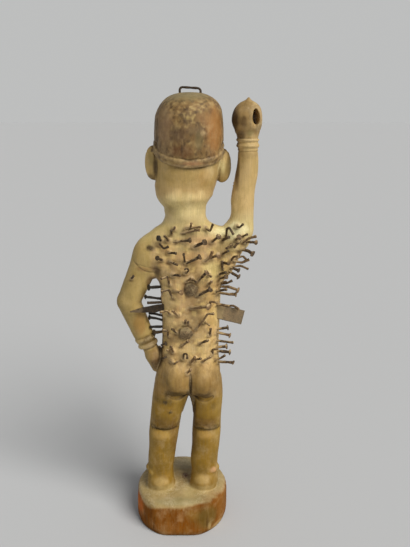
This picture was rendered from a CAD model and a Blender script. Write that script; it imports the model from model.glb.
# Looks of the carved standing figure: the wood as one fine mesh, hand-forged iron, patina, plain pale floor, soft light.
# Lengths in the tables are millimetres in the part's own frame; meshes are written in metres.
import math

import bpy
import numpy as np
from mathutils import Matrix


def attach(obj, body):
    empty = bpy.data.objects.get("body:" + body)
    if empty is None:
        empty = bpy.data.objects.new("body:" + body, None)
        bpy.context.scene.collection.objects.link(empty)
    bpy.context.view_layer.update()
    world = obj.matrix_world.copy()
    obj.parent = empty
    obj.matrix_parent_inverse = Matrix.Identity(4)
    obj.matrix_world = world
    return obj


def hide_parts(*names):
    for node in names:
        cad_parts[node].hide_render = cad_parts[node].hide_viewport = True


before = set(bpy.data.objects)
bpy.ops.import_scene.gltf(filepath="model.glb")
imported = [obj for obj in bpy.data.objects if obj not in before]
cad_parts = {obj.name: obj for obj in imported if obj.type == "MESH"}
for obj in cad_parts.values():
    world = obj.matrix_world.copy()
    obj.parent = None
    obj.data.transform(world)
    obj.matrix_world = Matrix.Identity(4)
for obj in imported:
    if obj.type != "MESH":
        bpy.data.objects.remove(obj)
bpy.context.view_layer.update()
CELL = 1.75     # cell of the carving mesh
WANT = 192_000

# ------------------------------------------------------------------------------------------------ the carving's sizes
BASE = dict(rx=91, ry=97, y=-9, top=65, dome=6, edge=5)
BASE_S = [[0, 0.5, 88, -3, 89.5], [9, 0, 91, -4, 93], [30, -0.5, 91.5, -6, 95.5], [52, -1, 91, -8.5, 97.5], [80, -1.5, 89.5, -11, 98.5]]
TRUNK_S = [
    [272, -16, 57, -4, 37], [290, -15.5, 62, -3, 42], [312, -15.5, 62, -4, 43], [334, -17.5, 58.5, -7, 41],
    [352, -18.5, 56, -9, 40.5], [371, -19.5, 55, -10, 41], [400, -20.5, 55, -9, 42.5], [430, -20.5, 55.5, -7, 43],
    [460, -21, 56, -5, 43], [491, -21, 58.5, -3, 42.5], [515, -20, 68, -2, 41], [538, -16, 84, -2, 37],
    [556, -17, 91, -2, 35], [572, -21, 91, -2, 32.5], [583, -24, 84, -2, 31], [594, -18, 64, -2, 30], [605, -16, 46, -2, 30], [614, -14, 39, -2, 30]]
NECK_S = [[585, -13, 40, -2, 31], [605, -13, 38.5, -2, 32], [628, -12.5, 36.5, -2, 33.5], [650, -11, 38, -5, 36], [672, -11, 40, -8, 38]]
LEG_L_S = [
    [72, 42, 26, 4, 25], [98, 42, 25, 3, 24], [125, 40.3, 26.8, 1, 26], [152, 37.5, 28, -3, 29], [179, 35, 30, -6, 31.5],
    [205, 31.5, 30.5, -10, 30], [232, 27.2, 31.8, -7, 34], [258, 22, 34, -4, 37], [284, 17.8, 34.2, -3, 39], [306, 16, 32, -3, 38]]
LEG_R_S = [
    [72, -47, 26, 4, 25], [98, -46.5, 26, 3, 24], [125, -46, 27.5, 1, 26], [152, -49, 27.5, -3, 29], [179, -50.5, 28.5, -6, 31.5],
    [205, -51.5, 28, -10, 30], [232, -52.5, 28.5, -7, 34], [258, -54, 28.5, -4, 37], [284, -54, 28, -3, 39], [306, -52, 27, -3, 38]]
ARM_R_S = [
    [560, -100, 26, 1, 27], [585, -108.5, 26, 0, 27], [605, -112, 24.5, -1, 26], [639, -115.3, 22, -4, 24.5], [665, -118, 20.8, -7, 23],
    [690, -122.5, 20.6, -6, 21.5], [714, -124.5, 18.8, -4, 20], [735, -124.5, 17.8, -2, 19], [768, -123.5, 18, 0, 19]]
HEAD = dict(x=-19, y=-6, z=745, yaw=7)
SKULL_S = [
    [-112, 8, 37, -14, 34], [-104, 8.5, 43, -12, 40], [-95, 8.5, 48, -9, 46], [-84, 8, 52.5, -8, 49], [-73, 6.5, 55.5, -7, 51],
    [-60, 4, 56, -6, 53], [-48, 3, 56.5, -5, 55], [-35, 1, 57.5, -5, 56], [-18, 0.5, 58.5, -3, 60], [0, 0, 59, -1, 63],
    [20, 0, 59, 0, 65], [38, 0, 58, 0, 65], [50, 0, 56.5, 0, 63], [61, 0, 53, 0, 59.5], [70, 0, 48, 0, 53.5],
    [77, 0, 42, 1, 46.5], [82.5, 0, 35, 1, 39], [86.5, 0, 23.5, 1, 27], [88.6, 0, 11, 1, 12]]
CAP = dict(lift=2.6, roll=3.6, nape=-36, rise=0.47, temple=38, crown=52)
FIST = dict(x=-122.7, y=0, z=790, rx=27.6, ry=29, rz=31.5)
TUNNEL = dict(x=-137.2, y=27, z=795, rx=6.6, rz=13, lean=0.05, inward=0.16, fall=0.12)
LEDGE = dict(z=198.5, out=3.4, run=55)
BOSS = dict(x=-19, y=-50, z=404, r=27, out=14)
LO, HI = np.array([-160.0, -116.0, -8.0]), np.array([130.0, 100.0, 846.0])


# ------------------------------------------------------------------------------------------------ field tools
def clamp(v, a, b):
    return np.minimum(np.maximum(v, a), b)


def smin(a, b, k):
    h = np.maximum(k - np.abs(a - b), 0) / k
    return np.minimum(a, b) - h * h * k * 0.25


def smax(a, b, k):
    return -smin(-a, -b, k)


def sstep(v, a, b):
    t = clamp((v - a) / (b - a), 0, 1)
    return t * t * (3 - 2 * t)


def curves(rows):
    rows = np.array(rows, float)
    z0, z1 = rows[0, 0], rows[-1, 0]
    z = np.arange(z0, z1 + 0.26, 0.5)
    i = np.clip(np.searchsorted(rows[:, 0], z, side="left") - 1, 0, len(rows) - 2)
    up, dn = np.minimum(np.arange(len(rows)) + 1, len(rows) - 1), np.maximum(np.arange(len(rows)) - 1, 0)
    out = []
    for c in range(1, 5):
        slope = (rows[up, c] - rows[dn, c]) / (rows[up, 0] - rows[dn, 0])
        h = rows[i + 1, 0] - rows[i, 0]
        u = clamp((z - rows[i, 0]) / h, 0, 1)
        out.append((2 * u**3 - 3 * u**2 + 1) * rows[i, c] + (u**3 - 2 * u**2 + u) * h * slope[i]
                   + (3 * u**2 - 2 * u**3) * rows[i + 1, c] + (u**3 - u**2) * h * slope[i + 1])
    return z0, z1, np.array(out)


def loft(L, x, y, z, p, k):
    z0, z1, t = L
    f = clamp((z - z0) * 2, 0, t.shape[1] - 1.001)
    i = f.astype(int)
    u = f - i
    cx, hx, cy, hy = t[:, i] * (1 - u) + t[:, i + 1] * u
    px, py = x - cx, y - cy
    ax, ay = np.abs(px) / hx, np.abs(py) / hy
    q = np.sqrt(ax * ax + ay * ay) if p == 2 else (ax**p + ay**p) ** (1 / p)
    q = np.maximum(q, 1e-3)
    r = np.hypot(px, py) + 1e-6
    d = np.where(q < 0.3, -np.minimum(hx, hy) * (1 - q), r - r / q)
    return smax(d, np.maximum(z0 - z, z - z1), k)


def ell(x, y, z, cx, cy, cz, rx, ry, rz):
    a, b, c = (x - cx) / rx, (y - cy) / ry, (z - cz) / rz
    k0 = np.sqrt(a * a + b * b + c * c)
    k1 = np.sqrt(a * a / (rx * rx) + b * b / (ry * ry) + c * c / (rz * rz)) + 1e-9
    return k0 * (k0 - 1) / k1


def cone(x, y, z, a, b, ra, rb, ky):
    v = [b[i] - a[i] for i in range(3)]
    t = clamp(((x - a[0]) * v[0] + (y - a[1]) * v[1] + (z - a[2]) * v[2]) / (v[0] ** 2 + v[1] ** 2 + v[2] ** 2), 0, 1)
    px, py, pz = x - a[0] - v[0] * t, (y - a[1] - v[1] * t) / ky, z - a[2] - v[2] * t
    return np.sqrt(px * px + py * py + pz * pz) - (ra + (rb - ra) * t)


def ring(x, y, z, a, v, R, r, ky):
    px, py, pz = x - a[0], (y - a[1]) / ky, z - a[2]
    h = px * v[0] + py * v[1] + pz * v[2]
    w = np.sqrt(np.maximum(px * px + py * py + pz * pz - h * h, 0)) - R
    return np.sqrt(h * h + w * w) - r


C = {n: curves(r) for n, r in dict(base=BASE_S, trunk=TRUNK_S, neck=NECK_S, legL=LEG_L_S, legR=LEG_R_S, armR=ARM_R_S, skull=SKULL_S).items()}
CYAW, SYAW = math.cos(math.radians(HEAD["yaw"])), math.sin(math.radians(HEAD["yaw"]))


def head_frame(x, y, z):
    dx, dy = x - HEAD["x"], y - HEAD["y"]
    return dx * CYAW + dy * SYAW, -dx * SYAW + dy * CYAW, z - HEAD["z"]


def cap_region(hx, hy, hz):
    nape = (hz - CAP["nape"] - (52 - hy) * CAP["rise"]) / math.hypot(1, CAP["rise"])
    return nape, smax(smin(nape, hy + CAP["temple"], 8), hz - CAP["crown"], 10)


def head(x, y, z):
    hx, hy, hz = head_frame(x, y, z)
    ax = np.abs(hx)
    left = hx > 0
    skull = loft(C["skull"], hx, hy, hz, 2.15, 3)
    crown = hz > 40
    if crown.any():
        u, v, w = np.abs(hx[crown] + 2.2 * sstep(hz[crown], 42, 78)) / 58.3, np.abs(hy[crown] - 0.5) / 65, (hz[crown] - 30) / 57.3
        q = ((u**2.15 + v**2.15) ** (2.6 / 2.15) + np.abs(w) ** 2.6) ** (1 / 2.6)
        dome = np.sqrt(hx[crown] ** 2 + hy[crown] ** 2 + (hz[crown] - 30) ** 2) * (1 - 1 / np.maximum(q, 0.2))
        k = sstep(hz[crown], 42, 62)
        skull[crown] = skull[crown] * (1 - k) + dome * k
    d = smin(skull, ell(ax, hy, hz, 30, -46, -40, 20, 17, 20), 8)
    d = smin(d, ell(hx, hy, hz, 1, -50, -92, 20, 16, 13), 8)
    d = smin(d, ell(ax, hy, hz, 22, -58, 10, 22, 9, 6), 6)
    d = smax(d, -ell(ax, hy, hz, 25, -72, -8, 17, 11, 11), 5)
    d = smin(d, ell(ax, hy, hz, 25, -55, -9, 15.5, 10.5, 8), 1.5)
    d = smin(d, cone(hx, hy, hz, [0, -61, 4], [0, -75, -40], 5, 8, 1), 5)
    d = smin(d, ell(ax, hy, hz, 9, -67, -43, 7, 8, 6), 3)
    d = smin(d, ell(hx, hy, hz, 0, -61, -63, 19, 9.5, 5.2), 2)
    d = smin(d, ell(hx, hy, hz, 0, -60, -72, 16.5, 10, 5.8), 2)
    ear = ell(ax, hy, hz, np.where(left, 62.5, 60.5), -3 + (ax - 60) * 0.15, np.where(left, -31.5, -37.5), 17.5, 9.5, np.where(left, 31, 31))
    ear = smax(ear, -ell(ax, hy, hz, np.where(left, 69, 66.5), -15, np.where(left, -31, -37), 9, 9, 16), 3)
    d = smin(d, ear, 2.5)
    nape, region = cap_region(hx, hy, hz)
    d = smin(d, smax(skull - CAP["lift"], -region, 2), 1)
    out = skull - 0.9
    d = smin(d, np.sqrt(out * out + (region - 3.5) ** 2) - CAP["roll"], 1.2)
    back = smax(np.sqrt(out * out + (nape - 10.5) ** 2) - CAP["roll"], -(hy + 10), 3)
    return smin(d, back, 1.2)


def base_part(x, y, z):
    r = np.hypot(x / BASE["rx"], (y - BASE["y"]) / BASE["ry"])
    top = z - (BASE["top"] + BASE["dome"] * (1 - r * r))
    return smax(loft(C["base"], x, y, z, 2, 1), top, BASE["edge"])


def legs_part(x, y, z):
    legs = np.minimum(loft(C["legL"], x, y, z, 2.2, 8), loft(C["legR"], x, y, z, 2.2, 8))
    rear, fade = clamp((y - 2) / 12, 0, 1), clamp(1 - (z - LEDGE["z"]) / LEDGE["run"], 0, 1)
    legs = np.where((rear > 0) & (z < LEDGE["z"] + LEDGE["run"]), np.minimum(legs, smax(legs - LEDGE["out"] * rear * fade, LEDGE["z"] - z, 2)), legs)
    for hx, tx, ox in ((42, 48, 66), (-46.5, -51.5, -71)):
        foot = cone(x, y, z, [hx, 4, 87], [hx * 0.98, -20, 86], 24, 22, 1)
        foot = smin(foot, cone(x, y, z, [hx, -24, 84], [tx, -52, 75], 22, 16, 1), 10)
        foot = smin(foot, ell(x, y, z, tx, -57, 74, 23, 15, 11), 8)
        legs = smin(legs, foot, 8)
        legs = smin(legs, ell(x, y, z, ox, 6, 106, 6, 8, 7), 4)
        legs = smin(legs, ell(x, y, z, hx + (-0.5 if hx > 0 else 1), 14, 84, 21, 21, 17), 3)
    return legs


def trunk_part(x, y, z):
    t = loft(C["trunk"], x, y, z, 2.3, 10)
    t = smin(t, ell(x, y, z, 5, 13, 312, 28, 37, 38), 7)
    t = smin(t, ell(x, y, z, -44, 13, 311, 25, 37, 38), 7)
    t = smax(t, -ell(x, y, z, -21.5, 60, 300, 3.2, 22, 42), 5)
    t = smin(t, cone(x, y, z, [-79, 1, 526], [-107, 0, 592], 22, 26, 1), 18)
    t = smin(t, ell(x, y, z, 54, -1, 540, 31, 30, 38), 12)
    t = smin(t, ell(x, y, z, 12, -22, 515, 40, 24, 34), 14)
    t = smin(t, ell(x, y, z, -56, -22, 517, 40, 24, 34), 14)
    t = smin(t, ell(x, y, z, -19, -26, 392, 44, 31, 52), 16)
    t = smax(t, -ell(x, y, z, -20, 62, 440, 16, 27, 125), 14)
    t = smin(t, ell(x, y, z, BOSS["x"], BOSS["y"], BOSS["z"], BOSS["r"], BOSS["out"], BOSS["r"]), 3)
    return smin(t, ring(x, y, z, [BOSS["x"], BOSS["y"] - 3, BOSS["z"]], [0, 1, 0], BOSS["r"], 4, 1), 2)


def arm_right(x, y, z):
    arm = loft(C["armR"], x, y, z, 2, 6)
    arm = smin(arm, ring(x, y, z, [-123.6, -1, 753.8], [0, 0, 1], 17.2, 3.3, 1.06), 1.8)
    arm = smin(arm, ring(x, y, z, [-124.0, -1.4, 744.4], [0, 0, 1], 15.9, 4.8, 1.06), 1.8)
    arm = smin(arm, ring(x, y, z, [-124.2, -1.4, 735.8], [0, 0, 1], 16.6, 1.5, 1.06), 1.5)
    F = FIST
    fist = ell(x, y, z, F["x"], F["y"], F["z"], F["rx"], F["ry"], F["rz"])
    fist = smin(fist, cone(x, y, z, [-123, 0, 768], [-123, 0, 785], 19, 26, 1), 6)
    fist = smin(fist, cone(x, y, z, [-123.5, -2, 812], [-123.8, 0, 824], 9, 2.5, 1), 5)
    for i in range(4):
        fist = smin(fist, ell(x, y, z, -125 - i, -19, 808 - i * 12.5, 21 - i, 13, 7.4), 3.5)
    fist = smin(fist, cone(x, y, z, [-112, -20, 808], [-108, -26, 784], 8, 8, 1), 4)
    arm = smin(arm, fist, 6)
    T = TUNNEL
    deep = T["y"] - y
    cz, cx = z - T["z"] + deep * T["fall"], x - T["x"] - deep * T["inward"]
    slim = T["rx"] * (1 - 0.66 * clamp(deep / 59, 0, 1))
    tq = np.hypot((cx - cz * T["lean"]) / slim, cz / T["rz"])
    return smax(arm, -(tq - 1) * slim, 1.2)


def arm_left(x, y, z):
    arm = cone(x, y, z, [57, -1, 545], [95.5, 4, 457], 27, 22, 1)
    arm = smin(arm, cone(x, y, z, [96, 4, 456], [66.5, 1, 381], 22, 19, 1), 3)
    a = (-0.342, 0, -0.940)
    arm = smin(arm, ring(x, y, z, [66.5, 1, 383], a, 17.2, 3.8, 1.05), 1)
    arm = smin(arm, ring(x, y, z, [62, 0, 369.5], a, 16.2, 3.8, 1.05), 1)
    hand = cone(x, y, z, [59.5, 0, 366], [51, -4, 344], 15, 14.5, 1.1)
    hand = smin(hand, cone(x, y, z, [53, -4, 344], [47.5, -8, 318], 15, 9, 1.4), 6)
    for i in range(4):
        hand = smin(hand, cone(x, y, z, [52 - i * 1.5, -12 - i, 352 - i * 9], [44 - i, -38, 344 - i * 9], 8.4, 5.8, 1), 3)
    return smin(arm, hand, 5)


def within(mask, fn, x, y, z):
    out = np.full(x.shape, 1e3)
    if mask.any():
        out[mask] = fn(x[mask], y[mask], z[mask])
    return out


def field(x, y, z):
    d = within(z < 140, base_part, x, y, z)
    d = smin(d, within(z < 340, legs_part, x, y, z), 8)
    t = within((z > 240) & (z < 660), trunk_part, x, y, z)
    d = np.where(z < 400, smin(d, t, 5), smin(d, t, 1))
    up = z > 560
    d = np.where(up, smin(d, within(up & (z < 700), lambda a, b, c: loft(C["neck"], a, b, c, 2, 8), x, y, z), 12), d)
    h = within(up, head, x, y, z)
    d = np.where(up, np.where(z < 690, smin(d, h, 3 + 25 * (1 - sstep(z, 648, 688))), smin(d, h, 0.6)), d)
    m = (x < -60) & (z > 540)
    d = np.where(m, smin(d, within(m, arm_right, x, y, z), 10), d)
    m = (x > 10) & (z > 290) & (z < 620)
    a = within(m, arm_left, x, y, z)
    return np.where(m, np.where(z > 500, smin(d, a, 9), smin(d, a, 3.5)), d)


# fine carving that the faceted solid leaves out: lids, lips, fingers, toes, kneecaps, cut lines
def groove(d, u, r, span=None, k=0.8):
    g = np.sqrt(u * u + d * d) - r
    if span is not None:
        g = smax(g, span, 1.5)
    return smax(d, -g, k)


def bead(d, u, r, sink, span=None, k=1.2):
    g = np.sqrt(u * u + (d + sink) ** 2) - r
    if span is not None:
        g = smax(g, span, 2)
    return smin(d, g, k)


def form(x, y, z):
    """The smooth carving with what the coarse solid rounds off: hewn base, heels, split of the thighs, seat, fist."""
    slim = 5.2 * np.exp(-((z - 628) / 15) ** 2) * sstep(x, -8, 14) * (1 - sstep(x, 45, 60))      # neck drawn in on its left
    d = field(x + slim, y, z)
    m = z < 125
    if m.any():
        X, Y, Z = x[m], y[m], z[m]
        v = smax(d[m], (Y - (84.0 - 0.2 * Z)) * 0.98, 9)
        r = np.hypot(X / BASE["rx"], (Y - BASE["y"]) / BASE["ry"])
        v = np.where(Z < 74, smax(v, 0.62 * (r - 1) * 92 + 0.78 * (Z - 62.5), 7), v)
        for hx, cz in ((41, 86.5), (-44, 88.5)):
            v = smin(v, ell(X, Y, Z, hx, 14.5, cz - 2.5, 22.5, 22, 17.5), 3.5 + 13 * (1 - sstep(Z, 72, 92)))
        v = smin(v, ell(X, Y, Z, 60, 15, 101, 7, 9, 7), 3)
        v = smin(v, ell(X, Y, Z, -65, 15, 105, 6.5, 8, 6), 3)
        d[m] = v
    hx, hy, hz = head_frame(x, y, z)
    m = (np.abs(hx) > 57) & (hy > -6) & (np.abs(hz + 34) < 40) & (z > 660) & (x > -100) & (x < 80)
    if m.any():
        ax = np.abs(hx[m])
        cut = (hy[m] + 3) * 0.86 + (ax - 66) * 0.50 - 7.0
        d[m] = smax(d[m], cut, 2)
    m = (z > 590) & (z < 656) & (x < -42) & (x > -104)
    if m.any():                                             # the round saddle between the neck and the raised arm
        u = (np.abs((x[m] + 72.5) / 22.5) ** 2.5 + np.abs((z[m] - 627) / 25.3) ** 2.5) ** 0.4
        d[m] = smax(d[m], -(u - 1) * 22.5, 6)
    m = (z > 690) & (z < 760) & (y > 5) & (np.abs(hx) < 66)
    if m.any():                                             # the cap's rim is one broad soft band across the nape
        nape, region = cap_region(hx[m], hy[m], hz[m])
        skull = loft(C["skull"], hx[m], hy[m], hz[m], 2.15, 3)
        d[m] = smin(d[m], smax(skull - 4.7, np.abs(nape - 7.0) - 8.2, 4.5), 1.5)
    m = (z > 225) & (z < 300)
    if m.any():
        X, Y, Z = x[m], y[m], z[m]
        cx = -16.8 + (269 - Z) * 0.06
        w = (0.25 * (269 - Z) - np.abs(X - cx)) / 1.03
        w = smax(smax(w, np.abs(Y + 2) - (5 + 16 * clamp((Z - 234) / 36, 0, 1)), 6), np.maximum(np.abs(X - cx) - 10.5, Z - 296), 3)
        d[m] = smin(d[m], w, 5)
    m = (z > 255) & (z < 350) & (y > -10)
    if m.any():
        X, Y, Z = x[m], y[m], z[m]
        v = smin(d[m], ell(X, Y, Z, 4, 16, 303, 25, 34, 27), 11)
        v = smin(v, ell(X, Y, Z, -43.5, 16, 302, 22.5, 34, 27), 11)
        v = smax(v, -ell(X, Y, Z, -20.4, 60, 284, 1.2, 23, 26), 3)
        for cx, cz, half in ((4, 269.5, 21), (-44, 266.0, 21)):
            u = Z - (cz + 0.021 * (X - cx) ** 2)
            g = np.sqrt(u * u + (v + 0.4) ** 2) - 4.4 * np.sqrt(clamp(1 - ((X - cx) / half) ** 2, 0.0001, 1)) + 8 * sstep(np.abs(X - cx), half - 3, half + 5)
            v = smax(v, -g, 4)
        d[m] = v
    m = (x < -88) & (z > 765)
    if m.any():
        X, Y, Z = x[m], y[m], z[m]
        v = smin(d[m], cone(X, Y, Z, [-123.8, 3, 819], [-120, 22.5, 806], 2.0, 3.6, 1), 5)          # ridge from the tip
        v = smin(v, cone(X, Y, Z, [-126.0, 25.8, 803], [-127, 26.8, 784], 3.2, 2.8, 1), 3)          # rim beside the hole
        v = smin(v, ell(X, Y, Z, -114, 0, 765, 11, 16, 17), 6)
        v = smax(v, -X - 148.6, 5)
        v = smax(v, (Y * 0.90 + (X + 112) * 0.43 + (Z - 792) * 0.05) - 25.2, 4)                       # flat of the back of the hand
        lean = (Z - 791) * 0.08
        v = smax(v, -ell(X + lean, Y, Z, -136.0, 31, 790.5, 7.6, 15, 19), 1.4)
        d[m] = v
    return d


def face_detail(d, x, y, z):
    hx, hy, hz = head_frame(x, y, z)
    ax = np.abs(hx)
    front = hy < -25
    e = (ax - 25) / 13
    f = groove(d, hz + 12.5 - 2.2 * e * e, 1.3, np.abs(ax - 25) - 12.5)                  # closed lids
    f = groove(f, hz + 1.5 + 3.5 * e * e, 1.1, np.abs(ax - 25) - 12)
    f = bead(f, hz - 13 + 7.5 * ((ax - 23) / 20) ** 2, 3.4, 1.6, np.abs(ax - 24) - 18)      # brows
    f = smax(f, -ell(ax, hy, hz, 5.2, -72.5, -49.5, 2.7, 4.0, 2.5), 1)                   # nostrils
    f = groove(f, hz + 67.3 - 0.006 * hx * hx, 1.4, ax - 16.5)                           # lips
    f = groove(f, hx, 1.0, np.abs(hz + 56.5) - 3.0)
    f = smax(f, -ell(hx, hy, hz, 0, -79.0, -80.5, 11, 7.0, 4.2), 4)                      # soft hollow under the lip
    d = np.where(front, f, d)
    # ears: a rim that curls round a hollow in front, a plain bevelled back
    cz = np.where(hx > 0, -31.5, -37.5)
    q = np.hypot((ax - 66) / 9.5, (hz - cz) / 24)
    side = (ax > 60) & (hy < -4)
    d = np.where(side, bead(d, (q - 1) * 11, 2.4, 0.5, hy + 8), d)
    return d


def cap_detail(d, x, y, z):
    """The cap's rim: one soft band, its lower cut deepest at the middle of the nape, its upper cut broken."""
    hx, hy, hz = head_frame(x, y, z)
    nape, region = cap_region(hx, hy, hz)
    back = hy > -8
    wob = 0.9 * np.sin(hx * 0.11 + 1.0) + 0.6 * np.sin(hx * 0.27)
    f = groove(d, region + 0.8 + wob * 0.5, 0.35 + 0.6 * np.exp(-((hx + 16) / 13) ** 2), -(hy + 12), 1.6)
    f = groove(f, nape - 15.4 + wob, 0.35 + 0.8 * np.exp(-((hx - 2) / 22) ** 2), -(hy + 12), 1.6)
    slot = np.sqrt((hy - 25) ** 2 + d * d) - 1.6
    f = np.where(hx > 30, smax(f, -smax(slot, np.abs(hz - 26) - 21, 3), 1.2), f)
    return np.where(back, f, d)


def carve(x, y, z):
    d = form(x, y, z)
    near = np.abs(d) < 9
    m = near & (z > 640) & (x > -100)
    if m.any():
        a = (x[m], y[m], z[m])
        v = face_detail(d[m], *a)
        d[m] = np.where((a[2] > 690), cap_detail(v, *a), v)
    m = near & (x < -88) & (z > 742)
    if m.any():                                            # fist: cuts between the curled fingers, thumbnail, wrist lines
        X, Y, Z = x[m], y[m], z[m]
        v = d[m]
        for i in range(3):
            v = groove(v, Z - (801.8 - i * 12.5) - 0.05 * (X + 125), 1.3, np.maximum(Y + 4, -X - 149))
        v = groove(v, np.hypot(X + 107, (Z - 782) * 0.8) - 6, 0.9, Y + 20)
        d[m] = v
    m = near & (x < -88) & (z > 725) & (z < 762)
    if m.any():
        v = groove(d[m], z[m] - 756.4, 0.7, None, 1.6)
        v = groove(v, z[m] - 745.9, 0.8, None, 1.6)
        d[m] = groove(v, z[m] - 733.9, 0.8, None, 1.6)
    m = near & (x > 30) & (z > 300) & (z < 545)
    if m.any():                                            # left arm: line round the upper arm, wrist lines, fingers
        X, Y, Z = x[m], y[m], z[m]
        v = groove(d[m], Z - 522.7 - 0.25 * (X - 37.8), 0.8, np.maximum(-(Y - 2), X - 79), 1.4)
        t = -(X - 66.5) * 0.342 - (Z - 383) * 0.94
        v = groove(v, t + 5.2, 0.8, None, 1.6)
        v = groove(v, t - 7.6, 0.8, None, 1.6)
        v = groove(v, t - 20, 0.8, -(X - 44), 1.6)
        for i in range(3):
            v = groove(v, Z - (345.5 - i * 9) - 0.1 * Y, 1.2, Y + 14)
        d[m] = v
    m = near & (z < 130)
    if m.any():                                            # toes and ankle lines
        X, Y, Z = x[m], y[m], z[m]
        v = d[m]
        for tx, s in ((48, 1), (-51.5, -1)):
            for i in range(5):
                v = smin(v, ell(X, Y, Z, tx + s * (-14.5 + i * 7.4), -68.5 + 0.5 * (i * 7.4 - 8) ** 2 / 22, 72.5, 4.4 - 0.25 * i, 8, 6.2 - 0.4 * i), 1.6)
        d[m] = v
    m = near & (z > 150) & (z < 300)
    if m.any():                                            # kneecaps in front, fold behind the knee
        X, Y, Z = x[m], y[m], z[m]
        v = d[m]
        v = smin(v, ell(X, Y, Z, 33, -31, 200, 17, 13, 17), 7)
        v = smin(v, ell(X, Y, Z, -51.5, -31, 200, 16, 13, 17), 7)
        sag = np.where(X > -16, 195.2 + 0.014 * (X - 30) ** 2, 195.2 + 0.5 * np.sin(X * 0.2))
        v = groove(v, Z - sag, 0.8, -(Y - 8), 2)
        for k, up in enumerate((204.5, 211, 218)):
            v = groove(v, Z - up - 0.6 * np.sin(X * 0.13 + k), 0.45, np.maximum(-(Y - 12), np.abs(X + 50) - 17 + k * 2), 1)
        d[m] = v
    m = near & (z > 280) & (z < 335) & (y > 0)
    if m.any():
        X, Z = x[m], z[m]
        d[m] = groove(d[m], X + 20.4, 0.9, np.abs(Z - 306) - 27, 2)
    m = near & (z > 360) & (z < 450) & (y < -20)
    if m.any():                                            # ring round the belly boss
        X, Z = x[m], z[m]
        R = np.hypot(X - BOSS["x"], Z - BOSS["z"])
        v = groove(d[m], R - (BOSS["r"] - 5.5), 1.3)
        d[m] = groove(v, R - (BOSS["r"] + 4.6), 1.2)
    return d


# ------------------------------------------------------------------------------------------------ meshing
def fill(f, lo, hi, s):
    """Field on a grid of cell s: coarse first, then only the cells near the surface."""
    c = 4
    n = (np.ceil((hi - lo) / (s * c)).astype(int)) * c + 1
    ax = [lo[i] + s * np.arange(n[i]) for i in range(3)]
    cg = np.meshgrid(*[a[::c] for a in ax], indexing="ij")
    dc = f(*[g.ravel() for g in cg]).reshape(cg[0].shape)
    lowest = np.full(tuple(k - 1 for k in dc.shape), np.inf)
    pos = np.zeros(lowest.shape, int)
    for i in (0, 1):
        for j in (0, 1):
            for k in (0, 1):
                v = dc[i:dc.shape[0] - 1 + i, j:dc.shape[1] - 1 + j, k:dc.shape[2] - 1 + k]
                lowest = np.minimum(lowest, np.abs(v))
                pos += v < 0
    live = (lowest < s * c * 1.35) | ((pos > 0) & (pos < 8))
    mask = np.zeros(tuple(n), bool)
    big = np.repeat(np.repeat(np.repeat(live, c, 0), c, 1), c, 2)
    mask[:-1, :-1, :-1] |= big
    for i in (0, 1):
        for j in (0, 1):
            for k in (0, 1):
                mask[i:n[0] - 1 + i, j:n[1] - 1 + j, k:n[2] - 1 + k] |= big
    sign = np.repeat(np.repeat(np.repeat(dc[:-1, :-1, :-1], c, 0), c, 1), c, 2)
    v = np.full(tuple(n), 5.0, np.float32)
    v[:-1, :-1, :-1] = np.where(sign < 0, -5.0, 5.0)
    idx = np.nonzero(mask)
    v[idx] = f(ax[0][idx[0]], ax[1][idx[1]], ax[2][idx[2]])
    v[np.abs(v) < 1e-4] = 1e-4
    return v, lo, s


def nets(v, lo, s):
    """One vertex in each crossed cell, one quad round each crossed edge."""
    ins = v < 0
    count = np.zeros(tuple(k - 1 for k in v.shape), np.int8)
    for i in (0, 1):
        for j in (0, 1):
            for k in (0, 1):
                count += ins[i:v.shape[0] - 1 + i, j:v.shape[1] - 1 + j, k:v.shape[2] - 1 + k]
    cell = np.nonzero((count > 0) & (count < 8))
    ids = np.full(count.shape, -1, np.int64)
    ids[cell] = np.arange(len(cell[0]))
    acc, num = np.zeros((len(cell[0]), 3)), np.zeros(len(cell[0]))
    corner = [(i, j, k) for i in (0, 1) for j in (0, 1) for k in (0, 1)]
    for a in corner:
        for axis in range(3):
            if a[axis]:
                continue
            b = list(a)
            b[axis] = 1
            va = v[cell[0] + a[0], cell[1] + a[1], cell[2] + a[2]]
            vb = v[cell[0] + b[0], cell[1] + b[1], cell[2] + b[2]]
            m = (va < 0) != (vb < 0)
            t = va[m] / (va[m] - vb[m])
            p = np.tile(np.array(a, float), (m.sum(), 1))
            p[:, axis] = t
            acc[m] += p
            num[m] += 1
    P = np.stack(cell, 1) + acc / num[:, None]
    P = lo + P * s
    quads = []
    for axis in range(3):
        o1, o2 = (axis + 1) % 3, (axis + 2) % 3
        sl = [slice(None)] * 3
        sl[axis] = slice(0, -1)
        sh = [slice(None)] * 3
        sh[axis] = slice(1, None)
        e = np.nonzero(ins[tuple(sl)] != ins[tuple(sh)])
        e = np.stack(e, 1)
        e = e[(e[:, o1] > 0) & (e[:, o2] > 0) & (e[:, o1] < v.shape[o1] - 1) & (e[:, o2] < v.shape[o2] - 1)]
        u1, u2 = np.eye(3, dtype=int)[o1], np.eye(3, dtype=int)[o2]
        q = [ids[tuple((e - o).T)] for o in (0 * u1, u1, u1 + u2, u2)]
        q = np.stack(q, 1)
        flip = ~ins[tuple(e.T)]
        q[flip] = q[flip][:, ::-1]
        quads.append(q)
    return P, np.concatenate(quads)


def gradient(f, P, h=0.3):
    g = np.empty_like(P)
    for i in range(3):
        a, b = P.copy(), P.copy()
        a[:, i] += h
        b[:, i] -= h
        g[:, i] = (f(*a.T) - f(*b.T)) / (2 * h)
    return g


def unit(v):
    return v / np.maximum(np.linalg.norm(v, axis=-1, keepdims=True), 1e-9)


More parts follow.
